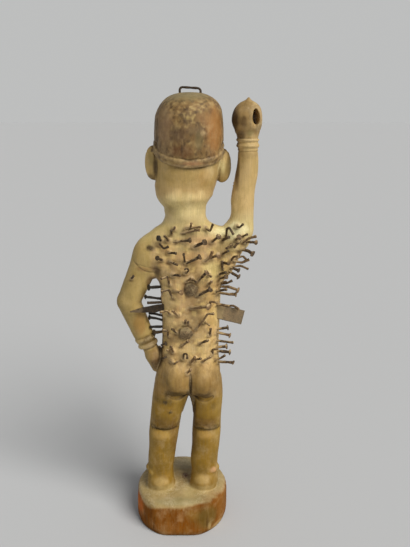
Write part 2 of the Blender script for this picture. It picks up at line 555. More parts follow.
# ------------------------------------------------------------------------------------------------ value noise
def rnd(ix, iy, iz, seed):
    h = (ix.astype(np.int64) * 374761393 + iy.astype(np.int64) * 668265263 + iz.astype(np.int64) * 1274126177 + seed * 974634777) & 0xFFFFFFFF
    h = ((h ^ (h >> 13)) * 1274126177) & 0xFFFFFFFF
    h = ((h ^ (h >> 16)) * 2246822519) & 0xFFFFFFFF
    return ((h ^ (h >> 15)) & 0xFFFFFF) / 16777215.0


def noise(P, size, seed):
    """Smooth value noise from 0 to 1; size is the cell in mm, one number or three."""
    q = P / np.array(size, float)
    i = np.floor(q).astype(np.int64)
    u = q - i
    u = u * u * (3 - 2 * u)
    out = 0
    for a in (0, 1):
        for b in (0, 1):
            for c in (0, 1):
                w = (u[:, 0] if a else 1 - u[:, 0]) * (u[:, 1] if b else 1 - u[:, 1]) * (u[:, 2] if c else 1 - u[:, 2])
                out = out + w * rnd(i[:, 0] + a, i[:, 1] + b, i[:, 2] + c, seed)
    return out


def fbm(P, size, seed, n=3):
    size = np.array(size, float)
    return sum(noise(P, size / 2**k, seed + k * 17) * 0.5**k for k in range(n)) / sum(0.5**k for k in range(n))


def scoops(P, size, seed):
    """0 in the middle of each tool cut, 1 at its edge."""
    q = P / np.array(size, float)
    i = np.floor(q).astype(np.int64)
    best = np.full(len(P), 9.0)
    for a in (-1, 0, 1):
        for b in (-1, 0, 1):
            for c in (-1, 0, 1):
                j = i + [a, b, c]
                p = j + np.stack([rnd(j[:, 0], j[:, 1], j[:, 2], seed + k) for k in range(3)], 1)
                best = np.minimum(best, np.linalg.norm(q - p, axis=1))
    return best


# ------------------------------------------------------------------------------------------------ iron, sizes in mm
# head, half width, x, y, z at the skin, then runs of length, heading, rise (degrees)
NAILS = [
    ("cut", 2.2, -10.5, 31.5, 593, 30, 158, 14), ("cut", 1.8, -15, 32, 600.5, 27, 160, 10), ("flat", 1.8, 31.5, 25, 577, 18, 79, 25),
    ("round", 2, 3.5, 29, 576, 27, 153, 10), ("cut", 1.8, 18, 31, 556, 22, 130, 7), ("flat", 2.1, -14.5, 34.5, 537.5, 16, 140, 26, 15, 159, 30),
    ("cut", 1.8, 16.5, 33, 540.5, 22, 134, -7), ("flat", 2.3, -28, 31, 567, 27, 139, 24), ("cut", 1.6, -48.5, 24, 600.5, 14, 130, -19, 14, 148, 66),
    ("cut", 2, -79.5, 25.5, 578, 22, 121, 23), ("cut", 1.7, -86, 25, 584.5, 17, 94, 63, 6, 155, 29, 14, 158, -58),
    ("flat", 2, -60, 28, 575.5, 24, 124, 30), ("cut", 1.7, -110.5, 28, 577, 20, 54, -25), ("cut", 1.9, -117.5, 25.5, 575, 13, 145, 35, 14, 163, 18),
    ("flat", 1.9, -122.5, 21.5, 573.5, 20, 144, 5), ("flat", 2.4, -115.5, 21, 559.5, 12, 139, -2, 11, 143, -20),
    ("cut", 1.8, -80, 28, 553.5, 20, 121, 24), ("cut", 2, -48, 33, 541, 14, 149, 38, 12, 135, 66), ("flat", 2.1, -58.5, 31, 547, 22, 128, 20),
    ("cut", 2, -80, 28, 537, 21, 118, 5), ("cut", 1.8, -99.5, 20.5, 538, 15.5, 174, -11, 15, 163, 27),
    ("flat", 1.9, -92, 20, 519, 10, 140, -22, 12, 143, -17), ("cut", 1.9, -74.5, 28, 515.5, 20, 124, 20), ("flat", 2, -36, 38.5, 506, 26, 139, 43),
    ("cut", 1.7, -21.5, 36, 508.5, 19, 126, -4), ("cut", 1.9, -55, 34.5, 498, 20, 105, 29), ("round", 2.2, -35, 37, 477.5, 30, 147, 30),
    ("cut", 1.9, -68, 24, 481.5, 24, 147, 17), ("flat", 2.1, -75, 15.5, 488, 18, 155, 6, 19, 152, -12),
    ("flat", 2.1, -74, 15, 476, 21, 150, 0, 12, 167, 4), ("cut", 1.7, -76, 15, 492.5, 16, 136, 16, 12, 163, 29),
    ("cut", 1.8, -57, 30, 457, 14, 93, 44, 14, 151, -1), ("flat", 2.3, -23, 33, 452.5, 41, 140, 14),
    ("cut", 1.7, -32, 33, 411, 26, 140, 51, 16, 171, 58, 13, 148, 9), ("flat", 2, -69.5, 13.5, 397.5, 26, 161, -7),
    ("cut", 2.1, -38, 30.5, 381, 24, 136, 30), ("cut", 1.8, -70.5, 9.5, 379, 32, 163, -1), ("flat", 2.2, -70.5, 8.5, 357.5, 25, 163, 1),
    ("bar", 2, -75, 10.5, 336, 28, 157, 6), ("cut", 1.9, -20.5, 32.5, 343.5, 23, 122, 45),
    ("cut", 1.9, -42.5, 31.5, 344.5, 13, 135, 39, 11, 163, 32), ("cut", 1.9, -14, 37.5, 324.5, 21, 118, 40),
    ("cut", 1.7, 17, 32.5, 497, 19, 70, 62, 13, 34, -10), ("cut", 1.7, 11.5, 33, 472, 20, 47, 60, 15, 31, -6),
    ("cut", 1.8, 12.5, 35.5, 515.5, 24, 133, 9), ("cut", 1.8, -14.5, 36.5, 504.5, 21, 123, 26), ("flat", 2.3, 32, 17, 488, 26, 30, 5),
    ("rose", 2, 32, 12, 463, 32, 21, 13), ("cut", 1.8, 31.5, 11.5, 429.5, 14.5, 0, 15, 13, 27, 13),
    ("flat", 1.9, 31.5, 10, 420, 12, 6, 20, 15, 26, 16), ("cut", 2, 32.5, 6, 406, 25, 19, 5), ("cut", 1.9, 1.5, 34.5, 438.5, 21, 55, 36),
    ("cut", 1.7, 21.5, 21, 392.5, 15, 89, 59, 10, 16, 14), ("cut", 2, -4, 30.5, 376.5, 24, 134, 38),
]
MORE_NAILS = [
    ("cut", 1.6, -22, 31.5, 601, 20, 96, 35), ("cut", 1.5, 7.5, 28.5, 598.5, 14, 99, 22), ("cut", 1.5, 12, 27.5, 589.5, 16, 90, 33),
    ("cut", 1.7, 18, 27.5, 577.5, 20, 71, 34), ("cut", 1.6, 33.5, 26, 570.5, 13, 129, -30, 10, 163, 25), ("flat", 1.8, 29.5, 30.5, 542, 16, 60, 24),
    ("cut", 1.8, -11.5, 34.5, 539.5, 24, 85, 48), ("cut", 1.5, -105.5, 26.5, 603.5, 12, 104, -4, 11, 144, 42),
    ("flat", 1.9, -103.5, 29, 579.5, 20, 104, 24), ("cut", 1.7, -95.5, 29, 570, 19, 61, -9), ("cut", 1.6, -115.5, 27.5, 585, 17, 116, 22),
    ("cut", 1.7, -96, 23.5, 540, 12, 115, 45, 8, 143, 12), ("cut", 1.8, -79.5, 28, 525.5, 22, 83, 50),
    ("cut", 1.7, -97, 18, 526, 16.5, 179, 9, 16, 148, -16), ("cut", 1.7, -103, 19.5, 542.5, 15, -179, 17, 12, 144, -39),
    ("flat", 1.9, -94, 20.5, 525.5, 17, 148, -9), ("flat", 1.8, -76.5, 23.5, 506, 17, 127, 21), ("cut", 1.6, -54.5, 35, 516.5, 15, 105, -2),
    ("cut", 1.7, -76.5, 18, 496.5, 12, 151, 15), ("cut", 1.9, -71, 17, 454.5, 25, 148, 0), ("cut", 1.7, -75, 6, 446, 28, 157, 11, 13, 148, -23),
    ("cut", 1.6, -47, 32, 424, 17, 121, -1), ("flat", 1.9, -70, 13.5, 403.5, 21, 166, 13), ("cut", 1.7, -57, 25, 396, 20, 97, 56),
    ("cut", 1.8, -62, 19, 356, 13, 93, 61, 10, 161, 14), ("flat", 2.3, -70, 9, 365, 19, 164, 12),
    ("cut", 1.7, -68.5, 17, 343.5, 11, 153, 23, 11, 165, 39), ("cut", 1.8, -29.5, 31, 349.5, 20, 125, 22), ("cut", 1.6, -10.5, 33, 421, 17, 97, 41),
    ("cut", 1.9, -16.5, 32, 421, 12, 90, 32), ("cut", 1.4, -13.5, 36.5, 519.5, 11, 126, 34, 8, 49, 52, 6, 52, -19),
    ("flat", 2, 7, 35.5, 485, 21, 125, 6), ("cut", 1.9, 31.5, 12.5, 456.5, 29, 20, 4), ("cut", 1.7, 16.5, 28, 438.5, 13, 56, 43, 14, 27, -4),
    ("flat", 2.2, 33.5, 2.5, 394.5, 20, 43, 9), ("cut", 1.8, 4.5, 30.5, 402.5, 18, 52, 40), ("flat", 1.6, 32.5, 7, 370, 12, 124, 27),
    ("cut", 1.8, 12, 26, 362.5, 20, 73, 51), ("cut", 1.6, 15, 24, 368, 16, 60, 9), ("bar", 1.7, 33.5, 14.5, 344.5, 15, 113, 27),
    ("cut", 1.5, -7, 31, 351, 13, 101, 66, 7, 158, 8, 10, 91, -40), ("cut", 1.6, 16.5, 29, 345.5, 15, 118, -5, 10, 159, 45),
    ("cut", 1.6, 86.5, 23.5, 506, 10, 123, 39),
]
DRIVEN = 15
HEADS = dict(cut=None, flat=(2.45, 2.2), round=(2.5, 3.2), rose=(2.4, 3.4), bar=(2.5, 2.6))
STAPLE = dict(x0=-3.5, x1=-40.5, y=-6, top=845.4, foot=821, r=1.7)
PLATE = dict(long=60, high=28.5, thick=2.6, at=(-61, 13.5, 441.3), drop=13.6, turn=1.5)
BLADE = dict(long=76, root=11.5, tip=3, thick=3, at=(19, 11, 449.5), to=(86.5, 36, 446.0))
DISC = dict(r=12.3, thick=2.2, dome=1.8, shank=2.6, inside=15, off=2.8)
DISCS = ((-22.5, 488.5), (-12.5, 403))


def aim(az, el):
    a, e = math.radians(az), math.radians(el)
    return np.array([math.cos(e) * math.cos(a), math.cos(e) * math.sin(a), math.sin(e)])


def smooth_path(pts, step, rounds):
    """Points every step along straight runs, with the corners rounded."""
    pts = [np.array(p, float) for p in pts]
    out = []
    for a, b in zip(pts, pts[1:]):
        n = max(int(np.linalg.norm(b - a) / step), 2)
        out += [a + (b - a) * k / n for k in range(n)]
    out = np.array(out + [pts[-1]])
    for _ in range(rounds):
        out[1:-1] = 0.25 * out[:-2] + 0.5 * out[1:-1] + 0.25 * out[2:]
    return out


def sweep(path, radius, sides, power, seed, rough, twist=0.0, squash=None):
    """A bar of rounded-square section along path; radius per ring; rough is the share of hammer marks."""
    n = len(path)
    d = unit(np.gradient(path, axis=0))
    u = np.cross(d[0], [0, 0, 1] if abs(d[0][2]) < 0.9 else [1, 0, 0])
    th = (np.arange(sides) + 0.5) / sides * 2 * np.pi
    rng = np.random.default_rng(seed)
    phase = rng.uniform(0, 6.28)
    verts = np.zeros((n, sides, 3))
    for i in range(n):
        u = unit(u - d[i] * np.dot(u, d[i]))
        w = np.cross(d[i], u)
        c, s = np.cos(th), np.sin(th)
        r = radius[i] / (np.abs(c) ** power + np.abs(s) ** power) ** (1 / power)
        cu, cw = (1, 1) if squash is None else squash[i]
        a = twist * i
        px, py = r * c * cu, r * s * cw
        px, py = px * math.cos(a) - py * math.sin(a), px * math.sin(a) + py * math.cos(a)
        verts[i] = path[i] + px[:, None] * u + py[:, None] * w
    flat = verts.reshape(-1, 3)
    ctr = np.repeat(path, sides, 0)
    k = 1 + rough * (fbm(flat + phase * 50, 3.2, seed, 2) - 0.5) * 2
    flat = ctr + (flat - ctr) * k[:, None]
    faces = []
    for i in range(n - 1):
        for j in range(sides):
            a, b = i * sides + j, i * sides + (j + 1) % sides
            faces.append((a, b, b + sides, a + sides))
    faces.append(tuple(range(sides - 1, -1, -1)))
    faces.append(tuple((n - 1) * sides + j for j in range(sides)))
    return flat, faces


def nail_shape(row, seed, sides=10, step=1.5, deep=7.0):
    head, r, x, y, z, *runs = row
    pts = [np.array([x, y, z], float)]
    for i in range(0, len(runs), 3):
        pts.append(pts[-1] + aim(runs[i + 1], runs[i + 2]) * runs[i])
    d0 = aim(runs[1], runs[2])
    rng = np.random.default_rng(seed)
    path = smooth_path([pts[0] - d0 * deep, *pts[1:]], step, 2)
    n = len(path)
    t = np.linspace(0, 1, n)
    # forged shank: a little slimmer at the wood, hammered unevenly, swelling at the struck end
    rad = r * (1.08 + 0.12 * t) * (1 + 0.07 * np.sin(t * rng.uniform(5, 11) + rng.uniform(0, 6)))
    flat = [(1.0, 1.0)] * n
    wide = rng.uniform(0.82, 1.12)
    flat = [(1 + (wide - 1) * k, 1 - (wide - 1) * k * 0.8) for k in t]
    h = HEADS[head]
    end, dr = path[-1], unit(path[-1] - path[-3])
    extra, er, ef = [], [], []
    if h is None:
        rad[-1] *= 1.20
        rad[-2] *= 1.12
        extra = [end + dr * 0.5, end + dr * 0.85]
        er, ef = [r * 1.15, r * 0.6], [flat[-1]] * 2
    elif head == "bar":
        wide_, tall = h
        ks = (0.0, 0.25, 0.7, 1.0, 1.1)
        extra = [end + dr * tall * k for k in ks]
        er = [r * q for q in (1.0, 1.15, 1.15, 0.95, 0.5)]
        ef = [(wide_ * q, 0.95) for q in (0.75, 1.0, 1.0, 0.9, 0.7)]
    elif head == "flat":
        wide_, tall = h
        extra = [end + dr * tall * k for k in (0.0, 0.12, 0.55, 0.85, 1.0)]
        er = [r * wide_ * q for q in (0.62, 1.0, 1.03, 0.86, 0.45)]
        lean = rng.uniform(0.85, 1.15)
        ef = [(lean, 2 - lean)] * 5
    elif head == "round":
        wide_, tall = h
        extra = [end + dr * tall * k for k in (0.0, 0.15, 0.45, 0.75, 0.95, 1.05)]
        er = [r * wide_ * q for q in (0.6, 0.98, 1.0, 0.8, 0.5, 0.2)]
        ef = [(1, 1)] * 6
    else:
        wide_, tall = h
        extra = [end + dr * tall * k for k in (0.0, 0.2, 0.5, 0.8, 1.0)]
        er = [r * wide_ * q for q in (0.6, 1.0, 0.9, 0.55, 0.25)]
        ef = [(1.08, 0.92)] * 5
    path = np.vstack([path, extra])
    rad = np.concatenate([rad, er])
    flat = flat + ef
    # keep headings steady at the head
    verts, faces = sweep(path, rad, sides, 3.4, seed, 0.16, twist=rng.uniform(-0.012, 0.012), squash=flat)
    gone = np.concatenate([[0], np.cumsum(np.linalg.norm(np.diff(path, axis=0), axis=1))]) - deep
    up = unit(verts - np.repeat(path, sides, 0))[:, 2] * 0.5 + 0.5
    return verts, faces, np.repeat(gone, sides), up, (pts[0], r, d0)


def slab(long, h0, h1, thick, at, d, nx, ny, seed, bend=0.0, ragged=0.5, tipcut=False):
    """A thin beaten plate: a rounded-edge grid of front and back faces."""
    d = unit(np.array(d, float))
    side = unit(np.cross([0, 0, 1], d))
    up = np.cross(d, side)
    rng = np.random.default_rng(seed)
    ring = [(-0.5, -1), (-0.28, -1.0), (0.28, -1.0), (0.5, -1)]
    prof = []                                     # closed section loop: across the height and round both edges
    m = ny
    for k in range(m + 1):
        prof.append((0.5, -0.94 + 1.88 * k / m))
    prof += [(0.3, 0.985), (0.0, 1.0), (-0.3, 0.985)]
    for k in range(m + 1):
        prof.append((-0.5, 0.94 - 1.88 * k / m))
    prof += [(-0.3, -0.985), (0.0, -1.0), (0.3, -0.985)]
    prof = np.array(prof)
    S = len(prof)
    stations = [0.0] + list(np.linspace(0.012, 0.988, nx)) + [1.0]
    V = []
    for q, t in enumerate(stations):
        half = (h0 + (h1 - h0) * t) / 2
        tk = thick * (0.55 if q in (0, len(stations) - 1) else 1.0) * (1 - 0.15 * t)
        half *= 0.975 if q in (0, len(stations) - 1) else 1.0
        c = at + d * (t * long) + side * (bend * math.sin(t * 3.0)) + up * 0.0
        V.append(c + side * (prof[:, :1] * tk) + up * (prof[:, 1:] * half))
    V = np.concatenate(V)
    edge = np.tile(np.abs(prof[:, 1]), len(stations))
    wob = (fbm(V, 7, seed, 3) - 0.5) * 2
    V = V + side * (wob * 0.5)[:, None] + up * ((fbm(V, 9, seed + 5, 3) - 0.5) * 2 * ragged * edge**4)[:, None]
    n = len(stations)
    faces = [(i * S + j, i * S + (j + 1) % S, (i + 1) * S + (j + 1) % S, (i + 1) * S + j) for i in range(n - 1) for j in range(S)]
    faces.append(tuple(range(S - 1, -1, -1)))
    faces.append(tuple((n - 1) * S + j for j in range(S)))
    return V, faces


def disc_shape(x, z, seed):
    g = lambda X, Z: march(np.array([X]), np.array([Z]), 1)[0]
    y, h = g(x, z), 4.0
    nx, nz = -(g(x + h, z) - g(x - h, z)) / (2 * h), -(g(x, z + h) - g(x, z - h)) / (2 * h)
    n = unit(np.array([nx * 0.6, 1.0, nz * 0.6]))
    u = unit(np.cross(n, [0, 0, 1.0]))
    w = np.cross(n, u)
    D = DISC
    prof = [(0.01, -8), (2.3, -8), (2.5, -4), (2.6, D["off"] - 0.4), (3.2, D["off"]), (7.0, D["off"] + 0.1), (10.6, D["off"] - 0.1),
            (11.9, D["off"] + 0.15), (12.4, D["off"] + 0.75), (12.2, D["off"] + 1.45), (11.2, D["off"] + 2.0), (9.2, D["off"] + 2.45),
            (7.0, D["off"] + 3.0), (5.0, D["off"] + 3.5), (3.9, D["off"] + 3.75), (3.3, D["off"] + 4.2), (2.2, D["off"] + 4.5), (0.01, D["off"] + 4.55)]
    S = 40
    V = []
    th = np.arange(S) / S * 2 * np.pi
    lobes = 1 + 0.045 * np.sin(th * 3 + seed) + 0.03 * np.sin(th * 5 + 2 * seed) + 0.018 * np.sin(th * 11 + seed * 3)
    for r, t in prof:
        k = lobes if r > 3.5 else 1
        V.append(np.array([x, y, z]) + n * t + (r * k * np.cos(th))[:, None] * u + (r * k * np.sin(th))[:, None] * w)
    V = np.concatenate(V)
    V += n * ((fbm(V, 4.5, seed, 3) - 0.5) * 1.5 * np.repeat([min(r / 12, 1) for r, _ in prof], S))[:, None]
    faces = [(i * S + j, i * S + (j + 1) % S, (i + 1) * S + (j + 1) % S, (i + 1) * S + j) for i in range(len(prof) - 1) for j in range(S)]
    faces += [tuple(range(S - 1, -1, -1)), tuple((len(prof) - 1) * S + j for j in range(S))]
    return V, faces


def march(x, z, way):
    """y of the skin at x, z, from behind (way 1) or from in front (way -1)."""
    y = np.full(len(x), 92.0 * way)
    for _ in range(160):
        y -= way * np.maximum(field(x, y, z), 0) * 0.6
    return y


# ------------------------------------------------------------------------------------------------ materials
def lin(c):
    c = np.array(c, float)
    return np.where(c <= 0.04045, c / 12.92, ((c + 0.055) / 1.055) ** 2.4)


def node(nt, kind, where=(0, 0), **kw):
    n = nt.nodes.new(kind)
    n.location = where
    for k, v in kw.items():
        if k in n.bl_rna.properties:
            setattr(n, k, v)
        else:
            n.inputs[k].default_value = v
    return n


def ramp(nt, src, stops):
    r = nt.nodes.new("ShaderNodeValToRGB")
    e = r.color_ramp.elements
    while len(e) < len(stops):
        e.new(0.5)
    for el, (p, v) in zip(e, stops):
        el.position = p
        el.color = (v, v, v, 1) if not isinstance(v, tuple) else (*v, 1)
    nt.links.new(src, r.inputs[0])
    return r.outputs[0]


def blend(nt, fac, a, b, mode="MIX"):
    m = nt.nodes.new("ShaderNodeMix")
    m.data_type = "RGBA"
    m.blend_type = mode
    for sock, v in ((m.inputs[0], fac), (m.inputs[6], a), (m.inputs[7], b)):
        if isinstance(v, (int, float)):
            sock.default_value = v
        elif isinstance(v, tuple):
            sock.default_value = (*v, 1)
        else:
            nt.links.new(v, sock)
    return m.outputs[2]


def calc(nt, op, a, b=None, clampit=False):
    m = nt.nodes.new("ShaderNodeMath")
    m.operation = op
    m.use_clamp = clampit
    for sock, v in zip(m.inputs, (a, b)):
        if v is None:
            continue
        if isinstance(v, (int, float)):
            sock.default_value = v
        else:
            nt.links.new(v, sock)
    return m.outputs[0]


def noise_tex(nt, coord, scale, detail=4.0, rough=0.55, stretch=None, distort=0.0):
    if stretch:
        mp = node(nt, "ShaderNodeMapping")
        mp.inputs["Scale"].default_value = stretch
        nt.links.new(coord, mp.inputs["Vector"])
        coord = mp.outputs[0]
    n = nt.nodes.new("ShaderNodeTexNoise")
    n.inputs["Scale"].default_value = scale
    n.inputs["Detail"].default_value = detail
    n.inputs["Roughness"].default_value = rough
    n.inputs["Distortion"].default_value = distort
    nt.links.new(coord, n.inputs["Vector"])
    return n.outputs[0]


def shader(name):
    m = bpy.data.materials.new(name)
    m.use_nodes = True
    nt = m.node_tree
    nt.nodes.clear()
    out = node(nt, "ShaderNodeOutputMaterial", (900, 0))
    p = node(nt, "ShaderNodeBsdfPrincipled", (600, 0))
    nt.links.new(p.outputs[0], out.inputs[0])
    co = node(nt, "ShaderNodeTexCoord", (-900, 0)).outputs["Object"]
    return m, nt, p, co


def wood_material():
    m, nt, p, co = shader("carved_wood_patina")
    L = nt.links.new
    tint = node(nt, "ShaderNodeAttribute", attribute_name="tint").outputs["Color"]
    sep = nt.nodes.new("ShaderNodeSeparateColor")
    L(node(nt, "ShaderNodeAttribute", attribute_name="mask").outputs["Color"], sep.inputs[0])
    dirt, wear, chalk = sep.outputs[0], sep.outputs[1], sep.outputs[2]
    grain = noise_tex(nt, co, 420, 5, 0.6, (1, 1, 0.07))
    figure = noise_tex(nt, co, 70, 4, 0.55, (1, 1, 0.16), 0.6)
    blot = noise_tex(nt, co, 42, 5, 0.62)
    fine = noise_tex(nt, co, 260, 5, 0.65)
    dust = noise_tex(nt, co, 620, 3, 0.6)
    flake = noise_tex(nt, co, 150, 7, 0.68, None, 1.2)
    c = blend(nt, ramp(nt, grain, [(0.38, 0.0), (0.64, 0.26)]), tint, (0.26, 0.175, 0.070), "MIX")
    c = blend(nt, ramp(nt, figure, [(0.30, 0.0), (0.75, 0.36)]), c, (0.80, 0.69, 0.46), "MULTIPLY")
    c = blend(nt, ramp(nt, blot, [(0.38, 0.45), (0.50, 0.0)]), c, (0.74, 0.73, 0.58), "MULTIPLY")
    c = blend(nt, ramp(nt, blot, [(0.52, 0.0), (0.70, 0.20)]), c, (0.70, 0.50, 0.25), "MIX")
    # chalky clay left on the skin, in flakes
    clay = calc(nt, "MULTIPLY", ramp(nt, flake, [(0.46, 0.0), (0.60, 1.0)]), calc(nt, "MULTIPLY", chalk, 0.55), True)
    c = blend(nt, clay, c, (0.66, 0.54, 0.33), "MIX")
    # old dirt in the cuts and pores
    low = calc(nt, "ADD", calc(nt, "MULTIPLY", dirt, 1.1), calc(nt, "MULTIPLY", calc(nt, "SUBTRACT", fine, 0.5), 0.8))
    c = blend(nt, ramp(nt, low, [(0.18, 0.0), (0.52, 0.40), (1.0, 0.86)]), c, (0.070, 0.042, 0.017), "MIX")
    c = blend(nt, ramp(nt, dust, [(0.60, 0.0), (0.72, 0.40)]), c, (0.15, 0.095, 0.04), "MIX")
    rub = calc(nt, "MULTIPLY", wear, ramp(nt, fine, [(0.35, 0.25), (0.60, 1.0)]), True)
    c = blend(nt, calc(nt, "MULTIPLY", rub, 0.34), c, (0.66, 0.50, 0.27), "MIX")
    L(c, p.inputs["Base Color"])
    rough = calc(nt, "ADD", calc(nt, "MULTIPLY", fine, 0.26), calc(nt, "MULTIPLY", dirt, 0.22))
    rough = calc(nt, "ADD", rough, calc(nt, "SUBTRACT", 0.46, calc(nt, "MULTIPLY", rub, 0.12)), True)
    L(rough, p.inputs["Roughness"])
    matt = node(nt, "ShaderNodeAttribute", attribute_name="matt").outputs["Fac"]
    L(calc(nt, "SUBTRACT", 0.32, calc(nt, "MULTIPLY", matt, 0.29)), p.inputs["Specular IOR Level"])
    h = calc(nt, "ADD", calc(nt, "MULTIPLY", grain, 0.55), calc(nt, "MULTIPLY", fine, 0.8))
    h = calc(nt, "ADD", h, calc(nt, "MULTIPLY", clay, 0.35))
    h = calc(nt, "SUBTRACT", h, calc(nt, "MULTIPLY", ramp(nt, dust, [(0.58, 0.0), (0.70, 1.0)]), 0.5))
    b = node(nt, "ShaderNodeBump")
    b.inputs["Strength"].default_value = 0.55
    b.inputs["Distance"].default_value = 0.00045
    L(h, b.inputs["Height"])
    L(b.outputs[0], p.inputs["Normal"])
    return m


def iron_material(name, dark, rust, pigment, amount, metal, scale):
    """Hammered iron: dark scale, rust in patches, clay where the tone attribute's green channel says."""
    m, nt, p, co = shader(name)
    L = nt.links.new
    sep = nt.nodes.new("ShaderNodeSeparateColor")
    L(node(nt, "ShaderNodeAttribute", attribute_name="tone").outputs["Color"], sep.inputs[0])
    own, clay, rusty = sep.outputs[0], sep.outputs[1], sep.outputs[2]
    a = noise_tex(nt, co, 330 * scale, 6, 0.65)
    b2 = noise_tex(nt, co, 150 * scale, 5, 0.6, None, 0.8)
    pit = noise_tex(nt, co, 900 * scale, 3, 0.6)
    k = calc(nt, "ADD", a, calc(nt, "MULTIPLY", calc(nt, "SUBTRACT", own, 0.5), 0.32))
    c = blend(nt, ramp(nt, calc(nt, "ADD", k, calc(nt, "MULTIPLY", rusty, 0.16)), [(0.44, 0.0), (0.70, 1.0)]), dark, rust)
    c = blend(nt, ramp(nt, pit, [(0.56, 0.0), (0.72, 0.6)]), c, tuple(v * 0.45 for v in dark))
    cover = calc(nt, "ADD", calc(nt, "MULTIPLY", calc(nt, "SUBTRACT", b2, 0.5), amount[1]), clay)
    c = blend(nt, calc(nt, "MULTIPLY", ramp(nt, cover, [(0.30, 0.0), (0.62, 1.0)]), amount[0]), c, pigment)
    L(c, p.inputs["Base Color"])
    L(calc(nt, "ADD", calc(nt, "MULTIPLY", a, 0.35), 0.40, True), p.inputs["Roughness"])
    p.inputs["Metallic"].default_value = metal
    p.inputs["Specular IOR Level"].default_value = 0.25
    h = calc(nt, "ADD", a, calc(nt, "MULTIPLY", pit, -0.6))
    b = node(nt, "ShaderNodeBump")
    b.inputs["Strength"].default_value = 0.6
    b.inputs["Distance"].default_value = 0.0005
    L(h, b.inputs["Height"])
    L(b.outputs[0], p.inputs["Normal"])
    return m


# ------------------------------------------------------------------------------------------------ pieces
def mesh_object(name, verts, faces, material, smooth=True, sharp=None):
    me = bpy.data.meshes.new(name)
    v = np.asarray(verts, np.float64) / 1000
    if isinstance(faces, np.ndarray):
        me.vertices.add(len(v))
        me.vertices.foreach_set("co", v.ravel())
        k = faces.shape[1]
        me.loops.add(faces.size)
        me.loops.foreach_set("vertex_index", faces.ravel().astype(np.int32))
        me.polygons.add(len(faces))
        me.polygons.foreach_set("loop_start", np.arange(0, faces.size, k, dtype=np.int32))
        me.polygons.foreach_set("loop_total", np.full(len(faces), k, np.int32))
        me.update(calc_edges=True)
        me.validate()
    else:
        me.from_pydata(v.tolist(), [], faces)
    me.materials.append(material)
    if smooth:
        me.polygons.foreach_set("use_smooth", [True] * len(me.polygons))
        if sharp:
            me.set_sharp_from_angle(angle=math.radians(sharp))
    me.update()
    o = bpy.data.objects.new(name, me)
    bpy.context.scene.collection.objects.link(o)
    return o


def color_attribute(me, name, rgb):
    a = me.attributes.new(name, "FLOAT_COLOR", "POINT")
    out = np.ones((len(rgb), 4), np.float32)
    out[:, :3] = rgb
    a.data.foreach_set("color", out.ravel())


WOOD = wood_material()
IRON = iron_material("forged_iron_rusty", (0.066, 0.043, 0.022), (0.235, 0.140, 0.063), (0.50, 0.36, 0.18), (0.90, 0.9), 0.05, 1.0)
SHEET = iron_material("sheet_iron_dull", (0.190, 0.140, 0.080), (0.300, 0.205, 0.105), (0.45, 0.33, 0.16), (0.65, 1.2), 0.06, 0.5)
ROUND = iron_material("beaten_disc_iron", (0.085, 0.058, 0.030), (0.235, 0.155, 0.075), (0.42, 0.31, 0.15), (0.70, 1.6), 0.06, 0.9)
DARK = iron_material("dark_iron", (0.026, 0.020, 0.014), (0.070, 0.043, 0.022), (0.28, 0.20, 0.11), (0.45, 1.0), 0.15, 0.8)

# nails: every stated nail is its own piece, the others are two joined pieces
ROOTS = []


def nail_tone(gone, up, v, seed, root):
    """Own shade of the nail, how much clay clings to it (near the wood and on top), and how rusty it is."""
    own = np.random.default_rng(seed + 900).uniform(0, 1)
    n = fbm(v, 4.5, seed, 2)
    clay = np.clip(1.15 - gone / (9 + 6 * own), 0, 1) * (0.45 + 0.55 * sstep(up, 0.3, 0.8)) + 0.9 * sstep(up, 0.4, 0.85) * sstep(n, 0.34, 0.52) * (0.45 + 0.55 * own)
    bare = 1 - 0.85 * float(root[0][0] > 28)
    own = own if bare > 0.5 else -0.6
    clay = clay * (0.60 if root[0][0] < -72 else 1.0)
    return np.stack([np.full(len(v), own), np.clip(clay * bare, 0, 1), (0.2 + 0.8 * sstep(n, 0.4, 0.7)) * bare], 1)


def put_nail(name, row, seed, replaces=None):
    v, f, gone, up, root = nail_shape(row, seed)
    ROOTS.append(root)
    o = mesh_object(name, v, f, DARK if root[0][0] > 28 else IRON, True, 38)
    color_attribute(o.data, "tone", nail_tone(gone, up, v, seed, root))
    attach(o, "root")
    if replaces:
        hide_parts(replaces)
    return o


for i, row in enumerate(NAILS):
    put_nail(f"forged_nail_{i + 1:02d}", row, 100 + i, f"nail_{i + 1:02d}")


def joined(name, rows, seed):
    V, Fc, T, base = [], [], [], 0
    for i, row in enumerate(rows):
        v, f, gone, up, root = nail_shape(row, seed + i, sides=8, step=1.8)
        ROOTS.append(root)
        V.append(v)
        Fc += [tuple(k + base for k in q) for q in f]
        T.append(nail_tone(gone, up, v, seed + i, root))
        base += len(v)
    o = mesh_object(name, np.concatenate(V), Fc, IRON, True, 38)
    color_attribute(o.data, "tone", np.concatenate(T))
    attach(o, "root")
    return o


joined("back_nails_small", MORE_NAILS, 300)


def front_nails():
    """Plainer nails on the hidden chest and belly, set out by rows with a fixed seed."""
    rng = np.random.default_rng(77)
    rows = []
    for z0 in (545, 522, 497, 470, 446, 424, 384, 362):
        for x0 in (-74, -50, -24, 4, 28):
            x, z = x0 + rng.uniform(-9, 9), z0 + rng.uniform(-8, 8)
            if math.hypot(x - BOSS["x"], z - BOSS["z"]) < 38 or rng.uniform() < 0.22 or (z < 500 and (x < -62 or x > 24)):
                continue
            y = march(np.array([x]), np.array([z]), -1)[0]
            g = unit(gradient(field, np.array([[x, y, z]])))[0]
            az = math.degrees(math.atan2(g[1], g[0])) + rng.uniform(-24, 24)
            el = math.degrees(math.asin(g[2])) + rng.uniform(2, 34)
            rows.append((("cut", "flat", "cut", "rose")[int(rng.uniform(0, 4))], rng.uniform(1.6, 2.1), x, y, z, rng.uniform(15, 26), az, el))
    return rows


